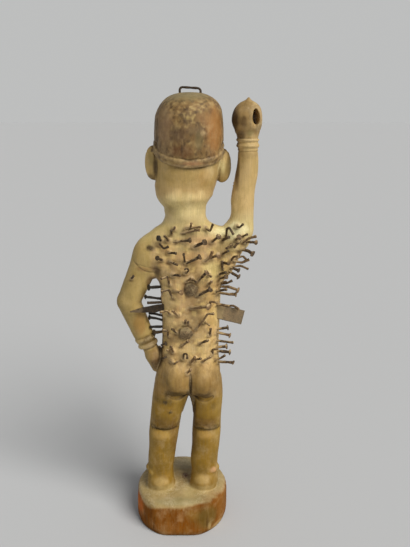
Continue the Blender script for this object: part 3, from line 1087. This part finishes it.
joined("front_nails", front_nails(), 500)


def iron_piece(name, verts, faces, material, replaces, own, clay, sharp=35):
    o = mesh_object(name, verts, faces, material, True, sharp)
    color_attribute(o.data, "tone", np.stack([np.zeros(len(verts)) + own, clay, fbm(verts, 11, 900, 3)], 1))
    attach(o, "root")
    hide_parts(replaces)
    return o


s = dict(STAPLE, top=STAPLE["top"] - 1.8)
legs = ((s["x0"] - 0.6, s["foot"]), (s["x0"] - 0.2, s["top"] - 3.2), (s["x0"] - 3.0, s["top"] - 0.4), (s["x0"] - 12, s["top"] - 0.9), (s["x0"] - 24, s["top"] - 1.7),
        (s["x1"] + 3.2, s["top"] - 2.3), (s["x1"] + 0.3, s["top"] - 5.2), (s["x1"] + 0.6, s["foot"]))
path = smooth_path([(x, s["y"] + 0.4 * math.sin(x), z) for x, z in legs], 1.1, 4)
k = np.arange(len(path))
path[:, 1] += 0.35 * np.sin(k * 0.21)
v, f = sweep(path, np.full(len(path), s["r"] * 1.17) * (1 + 0.07 * np.sin(k * 0.5)), 12, 2.6, 41, 0.10)
iron_piece("crown_staple_wire", v, f, DARK, "crown_staple", 0.5, 0.45 * np.clip((836 - v[:, 2]) / 8, 0, 1))

d = (-math.cos(math.radians(PLATE["drop"])), math.sin(math.radians(PLATE["turn"])), -math.sin(math.radians(PLATE["drop"])))
v, f = slab(PLATE["long"], PLATE["high"], PLATE["high"], PLATE["thick"], np.array(PLATE["at"], float), d, 36, 18, 51, 0.5, 0.55)
q, tilt = v - np.array(PLATE["at"]), math.radians(PLATE["drop"])
rim = np.minimum(PLATE["long"] - q @ np.array(d), PLATE["high"] / 2 - np.abs(q @ np.array([-math.sin(tilt), 0, math.cos(tilt)])))
iron_piece("beaten_plate", v, f, SHEET, "iron_plate", 0.5 - 1.6 * (1 - sstep(rim, 0.2, 2.4)), 0.15 - 0.8 * (1 - sstep(rim, 0.2, 2.4)) + 0.5 * sstep(v[:, 0], -92, -72) + 0.3 * (fbm(v, 14, 88, 3) - 0.4))
d = np.subtract(BLADE["to"], BLADE["at"])
v, f = slab(BLADE["long"], BLADE["root"], BLADE["tip"], BLADE["thick"], np.array(BLADE["at"], float), d, 44, 10, 52, 0.8, 0.5)
t = (v - np.array(BLADE["at"])) @ unit(np.array(d, float)) / BLADE["long"]                  # leaf shape: widest a third of the way out
axis = BLADE["at"][2] + unit(np.array(d, float))[2] * BLADE["long"] * t
wide = np.interp(t, [0, 0.15, 0.36, 0.62, 0.84, 1.0], [9.5, 11.0, 15.2, 11.2, 6.4, 1.8]) / (BLADE["root"] + (BLADE["tip"] - BLADE["root"]) * t)
v[:, 2] = axis + (v[:, 2] - axis) * wide - 1.2 * np.exp(-((t - 0.42) / 0.25) ** 2)
iron_piece("tapered_blade", v, f, DARK, "iron_blade", 0.35, 0.15 + 0.55 * sstep(v[:, 0], 52, 88))
for i, (x, z) in enumerate(DISCS):
    v, f = disc_shape(x, z, 61 + i)
    iron_piece(("disc_head_upper", "disc_head_lower")[i], v, f, ROUND, ("disc_nail_upper", "disc_nail_lower")[i], 0.45 + 0.1 * i,
               np.clip(0.18 + 0.35 * sstep(v[:, 2] - z, 0, 10) + 0.4 * (fbm(v, 5, 70 + i, 3) - 0.4) * 2, 0, 1))


# ------------------------------------------------------------------------------------------------ the wood
CRACKS = [  # drying cracks: points, half width, depth
    (((-8, 88, 2), (-9, 88.6, 20), (-7, 89, 40), (-8.5, 88, 58)), 0.8, 1.1),
    (((52, 70, 0), (53, 71, 16), (51.5, 72, 34)), 0.7, 0.9),
    (((-34, 82, 26), (-33, 83, 44), (-35, 81, 60)), 0.6, 0.8),
    (((72, 50, 20), (74, 50, 40), (73, 50, 62)), 0.7, 0.9),
    (((28, 36, 262), (30, 33, 240), (29, 30, 222)), 0.5, 0.6),
    (((-12.3, 56, 728), (-11.5, 58, 742), (-12.8, 60, 756)), 0.6, 0.7),
    (((-60, -84, 4), (-58, -85, 28), (-61, -84, 52)), 0.8, 1.0),
    (((14, -52, 640), (15, -53, 660)), 0.4, 0.4),
    (((83, 17, 538), (73.4, 25.7, 528), (60.3, 26.8, 520), (45.6, 22.7, 516)), 0.8, 1.0),
]


def crack_distance(P, pts):
    best = np.full(len(P), 1e3)
    for a, b in zip(pts, pts[1:]):
        a, b = np.array(a, float), np.array(b, float)
        v = b - a
        t = clamp((P - a) @ v / (v @ v), 0, 1)
        best = np.minimum(best, np.linalg.norm(P - a - t[:, None] * v, axis=1))
    return best


def crack_field(P):
    wob = (fbm(P, 6, 5, 2) - 0.5) * 2.2
    near = []
    for pts, w, depth in CRACKS:
        q = P.copy()
        q[:, 0] += wob
        near.append((crack_distance(q, pts), w, depth))
    return near


def root_distance(P):
    best = np.full(len(P), 99.0)
    for c, r, _ in ROOTS:
        m = np.abs(P[:, 2] - c[2]) < 26
        best[m] = np.minimum(best[m], np.linalg.norm(P[m] - c, axis=1) - r)
    return best


def swelling(P):
    """0 to 1: clay and raised fibres piled round each driven nail, drawn out under it; and the shaded hollow below it."""
    up, low = np.zeros(len(P)), np.zeros(len(P))
    for i, (c, r, d) in enumerate(ROOTS):
        m = (np.abs(P[:, 2] - c[2]) < 24) & (np.abs(P[:, 0] - c[0]) < 28) & (np.abs(P[:, 1] - c[1]) < 24)
        q = P[m] - c
        a = q @ d
        b2 = (q * q).sum(1) - a * a
        k = 0.75 + 0.5 * ((i * 7) % 10) / 10
        h = np.exp(-np.where(a > 0, a / (7.5 * k), a / 4.5) ** 2 - b2 / (4.6 * k) ** 2)
        up[m] = up[m] + h * k - up[m] * h * k * 0.8
        q = q - (2.5, 0, -5.0)
        h = np.exp(-(q[:, 0] / (7 * k)) ** 2 - (q[:, 2] / 2.6) ** 2 - (q[:, 1] / 8) ** 2)
        low[m] = np.maximum(low[m], h)
    return sstep(up, 0.10, 0.75), low


def relief(P):
    """Height of the worked surface over the smooth carving, in mm."""
    h = -0.55 * np.clip(1 - scoops(P, (13, 13, 21), 11) / 0.9, 0, 1) ** 1.5
    h += 0.55 * (fbm(P, (9, 9, 26), 21, 3) - 0.5)
    h += 0.9 * (fbm(P, (40, 40, 60), 31, 2) - 0.5)
    up, low = swelling(P)
    h += 2.5 * up - 0.8 * low - 0.5 * np.exp(-(root_distance(P) / 1.6) ** 2)
    back = sstep(P[:, 2], 335, 365) * (1 - sstep(P[:, 2], 585, 612)) * sstep(P[:, 1], 4, 14) * (1 - sstep(P[:, 0], 36, 46))
    h += back * 3.2 * (fbm(P, (30, 30, 14), 41, 3) - 0.5)
    for dist, w, depth in crack_field(P):
        h -= depth * np.exp(-(dist / w) ** 2 * 0.5)
    # the underside stays flat
    return np.where(P[:, 2] < 3, 0.0, h * sstep(P[:, 2], 2, 9))


def cut_flat(x, y, z):
    return np.maximum(carve(x, y, z), -z)


v, lo, cell = fill(cut_flat, LO, HI, CELL)
P, Q = nets(v, lo, cell)
for _ in range(2):
    g = gradient(cut_flat, P)
    d = cut_flat(*P.T)
    P -= g * (np.clip(d, -0.8, 0.8) / np.maximum((g * g).sum(1), 0.3) * 0.85)[:, None]
N = unit(gradient(cut_flat, P, 0.6))
P += N * relief(P)[:, None]
P[:, 2] = np.maximum(P[:, 2], 0.0)
figure = mesh_object("carved_figure", P, Q, WOOD)
me = figure.data
tris = len(me.polygons) * 2
if tris > WANT:
    mod = figure.modifiers.new("thin", "DECIMATE")
    mod.ratio = WANT / tris
    mod.use_collapse_triangulate = True
    thin = bpy.data.meshes.new_from_object(figure.evaluated_get(bpy.context.evaluated_depsgraph_get()))
    figure.modifiers.clear()
    figure.data = thin
    bpy.data.meshes.remove(me)
    me = thin
    me.name = "carved_figure"
me.polygons.foreach_set("use_smooth", [True] * len(me.polygons))


# ------------------------------------------------------------------------------------------------ patina
# soft patches laid on by hand: centre, radii, sRGB colour, strength
PATCHES = [
    # cap
    ((-14, 20, 834), (50, 52, 20), (0.56, 0.51, 0.37), 0.80),
    ((22, 42, 778), (20, 26, 30), (0.61, 0.48, 0.35), 0.70),
    ((-2, 60, 764), (17, 16, 14), (0.36, 0.26, 0.18), 0.75),
    ((-30, 60, 771), (15, 14, 8), (0.40, 0.31, 0.24), 0.60),
    ((-64, 38, 770), (17, 34, 42), (0.67, 0.46, 0.24), 0.80),
    ((-50, 54, 792), (14, 16, 12), (0.62, 0.45, 0.27), 0.55),
    ((-8, 55, 737), (26, 15, 11), (0.44, 0.28, 0.14), 0.75),
    ((-38, 58, 755), (8, 12, 19), (0.46, 0.41, 0.27), 0.65),
    ((-9, 58, 741), (1.8, 9, 11), (0.22, 0.12, 0.07), 0.85),
    ((26, 46, 800), (14, 20, 14), (0.55, 0.45, 0.30), 0.50),
    ((-44.5, 57, 767), (5, 8, 5), (0.78, 0.66, 0.47), 0.65),
    ((-34, 56, 802), (7, 9, 2.2), (0.28, 0.21, 0.14), 0.55),
    ((-16, 61, 786), (5, 8, 4.5), (0.30, 0.22, 0.15), 0.55),
    ((-29, 53, 716), (22, 12, 3.6), (0.76, 0.56, 0.40), 0.65),
    ((34, 28, 765), (4, 12, 28), (0.30, 0.21, 0.12), 0.45),
    # ears, nape, neck
    ((40, 8, 708), (5, 9, 22), (0.22, 0.15, 0.08), 0.85),
    ((51, 3, 686), (11, 10, 9), (0.26, 0.19, 0.10), 0.75),
    ((52, 9, 722), (11, 9, 16), (0.50, 0.44, 0.24), 0.60),
    ((-84, -6, 721), (8, 9, 13), (0.98, 0.84, 0.56), 0.75),
    ((-80, 2, 706), (10, 13, 22), (1.0, 0.94, 0.70), 0.80),
    ((-72, 2, 682), (10, 10, 8), (0.52, 0.40, 0.24), 0.50),
    ((-6, 36, 658), (34, 14, 9), (0.96, 0.87, 0.63), 0.55),
    ((-54, 28, 699), (12, 14, 18), (0.90, 0.80, 0.58), 0.60),
    ((14, 40, 693), (36, 18, 20), (0.72, 0.60, 0.36), 0.60),
    ((-48, 36, 690), (16, 18, 18), (0.74, 0.58, 0.34), 0.50),
    ((-39, 28, 660), (10, 12, 10), (0.95, 0.84, 0.60), 0.65),
    ((0, 37, 664), (10, 12, 9), (0.90, 0.78, 0.54), 0.55),
    ((15, 22, 630), (12, 20, 16), (0.66, 0.55, 0.33), 0.35),
    ((8, 32, 648), (22, 14, 12), (0.97, 0.87, 0.61), 0.60),
    ((-14, 32, 632), (26, 14, 12), (0.97, 0.88, 0.63), 0.45),
    # fist and raised arm
    ((-97, 14, 787), (10, 30, 31), (0.24, 0.17, 0.095), 0.92),
    ((-115, 27, 785), (6, 9, 12), (0.36, 0.26, 0.13), 0.70),
    ((-110, 17, 762), (9, 14, 10), (0.30, 0.21, 0.11), 0.75),
    ((-126, 22, 766), (8, 10, 6), (0.52, 0.47, 0.27), 0.60),
    ((-137, -5, 795), (8, 22, 14), (0.44, 0.29, 0.15), 0.90),
    ((-143, 14, 793), (3, 12, 12), (0.42, 0.22, 0.11), 0.60),
    ((-105, 6, 705), (5, 18, 46), (0.34, 0.235, 0.13), 0.87),
    ((-103.5, 6, 748), (4.5, 16, 15), (0.32, 0.24, 0.15), 0.85),
    # left arm and hand
    ((51.6, 25.5, 563), (8.0, 9, 5.4), (0.20, 0.145, 0.07), 0.98),
    ((52.4, 25.5, 563.6), (4.2, 6, 2.2), (0.34, 0.25, 0.12), 0.60),
    ((84.2, 23.7, 508.5), (3.0, 4, 5), (0.22, 0.16, 0.10), 0.90),
    ((39, 14, 522), (9, 26, 18), (0.24, 0.15, 0.08), 0.92),
    ((47, 18, 527), (10, 12, 8), (0.40, 0.26, 0.15), 0.60),
    ((66, 26, 524), (14, 10, 5), (0.56, 0.38, 0.20), 0.50),
    ((53, 10, 498), (10, 22, 15), (0.36, 0.23, 0.11), 0.80),
    ((56, 16, 380), (19, 22, 15), (0.41, 0.32, 0.145), 0.92),
    ((51, 14, 350), (11, 16, 12), (0.42, 0.28, 0.13), 0.65),
    ((46, 14, 335), (12, 16, 11), (0.36, 0.22, 0.10), 0.75),
    ((-102, 10, 648), (7, 16, 22), (0.95, 0.83, 0.60), 0.60),
    ((64, 14, 460), (7, 18, 22), (0.44, 0.31, 0.15), 0.55),
    ((74, 21, 418), (14, 16, 28), (0.60, 0.43, 0.18), 0.65),
    ((49, 10, 328), (7, 12, 14), (0.30, 0.19, 0.09), 0.85),
    ((60, 14, 352), (12, 14, 12), (0.60, 0.47, 0.23), 0.55),
    ((38, 10, 345), (4, 16, 24), (0.30, 0.21, 0.11), 0.60),
    # back
    ((-11.7, 32.8, 423.5), (3.0, 4, 2.6), (0.22, 0.15, 0.09), 0.90),
    ((-7.5, 33, 424.5), (2.4, 4, 2.2), (0.24, 0.16, 0.10), 0.80),
    ((-16, 34, 470), (24, 12, 26), (0.70, 0.55, 0.40), 0.40),
    ((-40, 34, 575), (36, 12, 16), (0.84, 0.66, 0.48), 0.55),
    ((-30, 34, 548), (44, 12, 12), (0.86, 0.68, 0.46), 0.45),
    ((-98, 26, 575), (20, 14, 24), (0.94, 0.83, 0.58), 0.60),
    ((-96, 20, 595), (34, 26, 18), (1.0, 0.96, 0.75), 0.95),
    ((-60, 30, 522), (19, 14, 18), (1.0, 0.90, 0.60), 0.75),
    ((21, 26, 455), (13, 16, 64), (0.97, 0.84, 0.58), 0.75),
    ((-16, 30, 371), (52, 14, 11), (0.93, 0.80, 0.53), 0.50),
    ((-58, 26, 430), (9, 12, 60), (0.84, 0.68, 0.42), 0.50),
    # seat and legs
    ((10, 40, 281), (24, 20, 10), (0.27, 0.21, 0.09), 0.80),
    ((-44, 40, 277), (24, 20, 10), (0.25, 0.17, 0.07), 0.80),
    ((-17.5, 34, 278), (6.5, 22, 13), (0.10, 0.07, 0.03), 0.85),
    ((-22, 12, 246), (9, 30, 40), (0.16, 0.10, 0.045), 0.92),
    ((26, 33, 275), (5, 14, 9), (0.30, 0.23, 0.10), 0.60),
    ((29, 33, 261), (5.5, 8, 4.2), (0.17, 0.12, 0.05), 0.92),
    ((19, 29, 238), (4.6, 8, 3.4), (0.15, 0.10, 0.04), 0.92),
    ((36, 22, 212), (26, 20, 12), (0.48, 0.36, 0.17), 0.60),
    ((-50, 22, 212), (26, 20, 12), (0.46, 0.33, 0.16), 0.60),
    ((-47, 22, 186), (18, 16, 9), (0.74, 0.58, 0.31), 0.55),
    ((40, 22, 186), (18, 16, 9), (0.76, 0.61, 0.33), 0.55),
    ((14, 5, 190), (9, 26, 60), (0.42, 0.29, 0.13), 0.55),
    ((-26, 5, 190), (9, 26, 60), (0.38, 0.27, 0.12), 0.55),
    # feet and base
    ((40, 34, 88), (18, 12, 10), (0.80, 0.68, 0.44), 0.60),
    ((-40, 34, 93), (18, 12, 10), (0.78, 0.66, 0.42), 0.60),
    ((40, 36, 74), (34, 26, 9), (0.72, 0.63, 0.41), 0.75),
    ((-40, 36, 74), (34, 26, 9), (0.72, 0.63, 0.41), 0.75),
    ((-64, 22, 109), (8, 9, 6), (0.84, 0.64, 0.48), 0.60),
    ((-6, -17, 71), (7, 11, 6), (0.34, 0.15, 0.07), 0.90),
    ((-2, -62, 68), (24, 34, 5), (0.62, 0.58, 0.47), 0.75),
    ((-14, 30, 68), (13, 32, 5), (0.80, 0.72, 0.50), 0.60),
    ((10, 66, 66), (50, 14, 5), (0.62, 0.59, 0.44), 0.50),
    ((-48, 58, 66), (24, 14, 5), (0.66, 0.60, 0.43), 0.50),
    ((84, 28, 38), (12, 34, 20), (0.80, 0.42, 0.15), 0.82),
    ((-53, 70, 34), (28, 24, 28), (0.41, 0.33, 0.14), 0.78),
    ((-84, 30, 36), (14, 30, 26), (0.56, 0.37, 0.15), 0.55),
    ((-24, 80, 44), (16, 16, 12), (0.58, 0.45, 0.21), 0.50),
    ((-53, 74, 24), (3.2, 20, 12), (0.28, 0.19, 0.09), 0.60),
    ((-57, 72, 12), (3.4, 18, 11), (0.74, 0.63, 0.42), 0.60),
    ((-76, 50, 6), (26, 26, 7), (0.76, 0.63, 0.42), 0.65),
    ((30, 84, 18), (30, 20, 14), (0.56, 0.36, 0.16), 0.50),
]


SKIN = {
    "trunk": (0.78, 0.65, 0.43), "shoulders": (0.84, 0.75, 0.51), "neck": (0.81, 0.73, 0.51), "nape": (0.75, 0.63, 0.39), "arm": (0.80, 0.68, 0.45),
    "left arm": (0.725, 0.62, 0.375), "left arm edge": (0.61, 0.53, 0.32), "left flank": (0.79, 0.67, 0.45), "right flank": (0.90, 0.77, 0.50),
    "seat": (0.60, 0.47, 0.25), "thigh": (0.59, 0.455, 0.145), "calf": (0.56, 0.425, 0.11), "cap": (0.53, 0.41, 0.245),
    "base top": (0.69, 0.60, 0.40), "base side": (0.50, 0.28, 0.03), "fist": (0.655, 0.535, 0.335),
}


def tints(P, N):
    def f(h):
        return form(*(P + N * h).T)

    small, mid, wide = (1 - np.clip(f(h) / h, -1, 1) for h in (2.5, 7.0, 18.0))
    edge = np.clip((-form(*(P - N * 5.0).T)) / 5.0, 0, 2)
    convex = np.clip((1 - edge) * 2.2, 0, 1)
    cut = np.clip(carve(*P.T) - form(*P.T) - 0.12, 0, 2)          # the fine carving's own cuts
    up, low = swelling(P)
    r = root_distance(P)
    x, y, z = P.T
    col = np.tile(lin(SKIN["trunk"]), (len(P), 1))

    def paint(rgb, w):
        nonlocal col
        col = col + (lin(rgb) - col) * np.clip(w, 0, 1)[:, None]

    n1, n2, n3 = fbm(P, 22, 1), fbm(P, 8, 2), fbm(P, (12, 12, 60), 3)
    n4, n5 = fbm(P, (26, 26, 12), 4), fbm(P, 5, 6, 2)
    rag = (n2 - 0.5) * 6
    hx, hy, hz = head_frame(x, y, z)
    nape, region = cap_region(hx, hy, hz)
    # broad zones, top to bottom
    paint(SKIN["shoulders"], sstep(z, 540, 575) * (1 - sstep(z, 615, 640)))
    paint(SKIN["neck"], sstep(z, 600, 625) * (1 - sstep(z, 640, 665)))
    paint(SKIN["nape"], sstep(z, 655, 685) * (np.abs(x + 19) < 80))
    paint(SKIN["arm"], sstep(-x, 96, 104) * sstep(z, 610, 640))
    paint(SKIN["fist"], (x < -85) * sstep(z, 752, 766) * 0.95)
    paint((0.50, 0.39, 0.21), (x < -85) * sstep(z, 757, 764) * sstep(n2, 0.50, 0.64) * 0.55)
    paint((0.84, 0.74, 0.50), (x < -85) * sstep(z, 757, 764) * sstep(1 - n2, 0.56, 0.68) * sstep(-x, 118, 140) * 0.6)
    larm = sstep(x, 44, 56) * sstep(z, 310, 330) * (1 - sstep(z, 560, 590))
    paint(SKIN["left arm"], larm)
    paint(SKIN["left arm edge"], larm * sstep(x, 78, 100) * 0.5)
    trunk = sstep(z, 325, 350) * (1 - sstep(z, 560, 600)) * (x < 50) * (x > -118) * (1 - larm)
    paint(SKIN["left flank"], trunk * sstep(x + rag, -18, 26) * 0.62)
    paint(SKIN["right flank"], trunk * sstep(-x - rag, 34, 62) * 0.55)
    paint((0.55, 0.44, 0.30), trunk * sstep(y, 5, 15) * sstep(n4, 0.50, 0.66) * 0.36)
    paint((0.88, 0.71, 0.48), trunk * sstep(y, 5, 15) * sstep(1 - n4, 0.50, 0.64) * 0.50)
    mott = trunk * sstep(y, 5, 15)
    paint((0.54, 0.40, 0.22), mott * sstep(fbm(P, 8, 61, 2), 0.53, 0.68) * 0.48)
    paint((0.99, 0.86, 0.56), mott * sstep(fbm(P, 9, 62, 2), 0.53, 0.68) * 0.60)
    for x0, z0 in DISCS:
        paint((0.26, 0.17, 0.09), np.exp(-((np.hypot(x - x0, z - z0) - 13.5) / 2.4) ** 2) * (y > 5) * (0.45 + 0.5 * sstep(n2, 0.40, 0.60)))
    off = np.where(z < 100, sstep(base_part(x, y, z), 0.8, 3.0), 1.0)                # 0 on the base, 1 on the feet and above
    legs = (1 - sstep(z, 290, 345)) * off
    paint(SKIN["seat"], (1 - sstep(z, 300, 352)) * off)
    paint(SKIN["thigh"], (1 - sstep(z, 262, 286)) * off)
    paint(SKIN["calf"], (1 - sstep(z, 190, 197)) * off)
    side_lit = sstep(np.abs(x + np.where(x > -18, -33, 50)) / 28, 0.45, 0.95)
    paint((0.64, 0.52, 0.24), legs * (z < 270) * side_lit * 0.45)
    paint((0.40, 0.32, 0.12), legs * sstep(n1, 0.50, 0.66) * (1 - side_lit) * (0.55 - 0.2 * (z < 195)))
    paint((0.27, 0.20, 0.055), legs * np.exp(-((z - 206) / 13) ** 2) * (1 - 0.5 * side_lit) * (0.45 + 0.9 * sstep(n2, 0.45, 0.65)) * (y > 5) * 0.75 * (z > 195))
    paint((0.68, 0.55, 0.27), legs * np.exp(-((z - 186) / 7) ** 2) * (z < 195.2) * (y > 5) * 0.55)
    streak = fbm(P, (3.4, 3.4, 34), 63, 2)
    low_body = (1 - sstep(z, 330, 352)) * sstep(z, 72, 84)
    paint((0.42, 0.31, 0.13), low_body * sstep(streak, 0.54, 0.70) * (0.13 + 0.15 * (z > 270)))
    paint((0.78, 0.64, 0.34), low_body * sstep(1 - streak, 0.58, 0.72) * (0.06 + 0.14 * (z > 270)))
    paint((0.12, 0.08, 0.01), legs * np.exp(-((z - 200.5) / 8) ** 2) * (z > 195.6) * (y > 5) * (0.40 + 0.5 * sstep(n5, 0.4, 0.6)))
    cap = sstep(region + rag * 0.1, 0.0, 2.2) * (hz > -80) * (np.abs(hx) < 68)
    paint(SKIN["cap"], cap)
    paint((0.36, 0.27, 0.18), cap * sstep(n1, 0.50, 0.66) * 0.62)
    paint((0.58, 0.46, 0.28), cap * sstep(1 - n1, 0.55, 0.70) * 0.45)
    band = (hy > -8) * sstep(nape, 2.0, 6.0) * (1 - sstep(nape, 13.6, 15)) * (region > -4)
    paint((0.60, 0.49, 0.30), band * 0.45)
    speck = fbm(P, 4.6, 51, 2)
    flecks = np.exp(-((x + 27) / 20) ** 2 - ((z - 800) / 15) ** 2)
    paint((0.66, 0.55, 0.35), cap * sstep(fbm(P, 11, 64, 2), 0.54, 0.68) * 0.45)
    paint((0.29, 0.20, 0.13), cap * sstep(fbm(P, 9, 65, 2), 0.54, 0.68) * 0.42)
    paint((0.72, 0.61, 0.40), cap * sstep(speck, 0.58, 0.70) * (0.60 + 0.35 * flecks))
    paint((0.82, 0.71, 0.46), cap * flecks * sstep(fbm(P, 3.4, 52, 2), 0.52, 0.64) * 0.80)
    paint((0.23, 0.15, 0.09), cap * sstep(1 - speck, 0.58, 0.70) * 0.72)
    # the clay slip on the base's top runs over the edge and stops raggedly on the side
    ang = np.arctan2(y + 6, x)
    lip = 59.0 + 3.0 * np.sin(ang * 2 + 2.4) - 4.5 * np.exp(-((x - 66) / 18) ** 2) * (y > 0) + 5.5 * np.exp(-((x + 48) / 26) ** 2) * (y > 0)
    side = (1 - sstep(z + rag * 0.9, lip - 3.5, lip + 3.0)) * (np.hypot(x / 92, (y + 8) / 97) > 0.72)
    top = (z < 80) * (1 - side) * sstep(N[:, 2], -0.1, 0.5) * (1 - off)
    paint(SKIN["base top"], top)
    paint((0.60, 0.50, 0.30), top * sstep(n1, 0.48, 0.66) * 0.55)
    paint((0.80, 0.73, 0.55), top * sstep(1 - n2, 0.50, 0.66) * 0.35)
    paint(SKIN["base side"], side)
    paint((0.37, 0.20, 0.05), side * sstep(n3, 0.46, 0.64) * 0.42)
    paint((0.56, 0.38, 0.13), side * sstep(1 - n3, 0.56, 0.70) * 0.28)
    paint((0.24, 0.16, 0.07), side * (1 - sstep(z + rag, 2, 12)) * 0.5)
    for c, rr, rgb, strength in PATCHES:
        q = ((P - np.array(c)) / np.array(rr)) ** 2
        w = np.exp(-q.sum(1) * 1.1)
        m = w > 0.02
        w = sstep(w + (n2 - 0.5) * 0.5 * np.sqrt(w), 0.12, 0.75)
        paint(rgb, np.where(m, w * strength, 0))
    # clay lumps and stain round the nails
    paint((0.82, 0.67, 0.46), up * (0.30 + 0.45 * sstep(n1, 0.40, 0.60)))
    paint((0.36, 0.25, 0.14), low * (1 - up) * 0.62)
    paint((0.28, 0.18, 0.10), np.exp(-(np.maximum(r, 0) / 2.0) ** 2) * 0.80)
    for dist, w, depth in crack_field(P):
        paint((0.20, 0.13, 0.07), np.exp(-(dist / (w * 1.3)) ** 2) * 0.75)
    paint((0.22, 0.15, 0.085), np.clip(wide - 0.55, 0, 1) * 0.62)
    # inside of the fist's hole
    T = TUNNEL
    t = clamp((T["y"] - y) / 59, -0.3, 1.2)
    q = np.hypot((x - (T["x"] + 9.4 * t)) / 8.2, (z - (T["z"] - 7 * t)) / 15.0)
    hole = (x < -110) * (z > 765) * (1 - sstep(q, 0.86, 0.98)) * (1 - sstep(y, 19, 24.5))
    paint((0.68, 0.55, 0.33), hole * 0.95)
    cut = cut * (1 - 0.55 * (hy < -30) * (z > 640))
    wide = 0.6 + (wide - 0.6) * (1 - 0.55 * sstep(z, 612, 628) * (1 - sstep(z, 668, 686)))
    dirt = np.clip(small * 0.60 + (mid - 0.25) * 0.70 + cut * 0.26 + (wide - 0.6) * 0.35, 0, 1)
    dirt = np.maximum(dirt, np.exp(-(np.maximum(r, 0) / 1.6) ** 2) * 0.75)
    dirt = np.clip(dirt * (1 - 0.6 * up) + low * 0.3 * (1 - up), 0, 1)
    dirt *= 1 - 0.80 * (z < 92) * sstep(z, 64, 70)
    dirt *= 1 - 0.75 * hole
    knee = np.exp(-((z - 202) / 15) ** 2) + (z < 85) + np.exp(-((z - 275) / 14) ** 2)
    convex = convex * (1 - 0.9 * np.clip(knee, 0, 1)) * (1 - 0.7 * hole)
    # the cap's edge at the left temple, with the darker roll beyond it
    strip = (hx > 30) * sstep(hz, -3, 4) * (1 - sstep(hz, 44, 50)) * (hy > -30)
    paint((0.22, 0.15, 0.09), strip * np.exp(-((hy - 25.5) / 2.6) ** 2) * 0.85)
    paint((0.38, 0.29, 0.18), strip * (1 - sstep(hy, 20, 23)) * 0.7)
    chalk = np.clip(0.10 + 0.65 * top + 0.30 * trunk * sstep(y, 5, 15) + 0.35 * up - 0.3 * side - dirt, 0, 1) * sstep(n1, 0.34, 0.62)
    return np.clip(col, 0.002, 1), np.stack([dirt, convex, chalk], 1), np.stack([np.clip(side + 0.40 * low_body + 0.45 * np.exp(-((z - 204) / 11) ** 2) * (z > 195), 0, 1)] * 3, 1)


co = np.empty(len(me.vertices) * 3)
me.vertices.foreach_get("co", co)
P = co.reshape(-1, 3) * 1000
N = np.empty(len(P) * 3)
me.vertices.foreach_get("normal", N)
N = N.reshape(-1, 3)
tint, mask, matt = tints(P, N)
color_attribute(me, "tint", tint)
color_attribute(me, "mask", mask)
color_attribute(me, "matt", matt)
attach(figure, "root")
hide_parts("figure")
print("figure", len(me.vertices), "vertices", len(me.polygons), "faces")

# ------------------------------------------------------------------------------------------------ floor, light, camera
me = bpy.data.meshes.new("floor")
me.from_pydata([(-40, -40, -0.0004), (40, -40, -0.0004), (40, 40, -0.0004), (-40, 40, -0.0004)], [], [(0, 1, 2, 3)])
floor = bpy.data.objects.new("floor", me)
bpy.context.scene.collection.objects.link(floor)
m, nt, p, _ = shader("pale_floor")
p.inputs["Base Color"].default_value = (0.575, 0.58, 0.585, 1)
p.inputs["Roughness"].default_value = 0.9
p.inputs["Specular IOR Level"].default_value = 0.1
me.materials.append(m)

# a room that is pale round the horizon and dim overhead, so the floor runs into it
world = bpy.data.worlds.new("soft_room")
bpy.context.scene.world = world
world.use_nodes = True
nt = world.node_tree
bg = nt.nodes["Background"]
sep = nt.nodes.new("ShaderNodeSeparateXYZ")
nt.links.new(nt.nodes.new("ShaderNodeTexCoord").outputs["Generated"], sep.inputs[0])
sky = ramp(nt, sep.outputs[2], [(0.0, (0.512, 0.517, 0.514)), (0.15, (0.512, 0.517, 0.514)), (0.45, (0.32, 0.325, 0.33)), (1.0, (0.16, 0.165, 0.17))])
nt.links.new(sky, bg.inputs[0])
bg.inputs[1].default_value = 1.0

data = bpy.data.lights.new("key", "SUN")
data.energy = 2.85
data.angle = math.radians(36)
data.color = (1.0, 0.985, 0.955)
key = bpy.data.objects.new("key", data)
from mathutils import Vector
key.rotation_euler = Vector((1.08, -1.12, -1.45)).to_track_quat("-Z", "Y").to_euler()
bpy.context.scene.collection.objects.link(key)

cam = bpy.data.cameras.new("camera")
cam.sensor_fit = "VERTICAL"
cam.sensor_height = 36
cam.lens = 620 / 547 * 36
cam.clip_end = 200
camera = bpy.data.objects.new("camera", cam)
camera.location = (-0.04784, 1.12126, 0.80509)
camera.rotation_euler = (math.radians(75.2), 0, math.pi)
bpy.context.scene.collection.objects.link(camera)
bpy.context.scene.camera = camera
bpy.context.scene.view_settings.view_transform = "Standard"
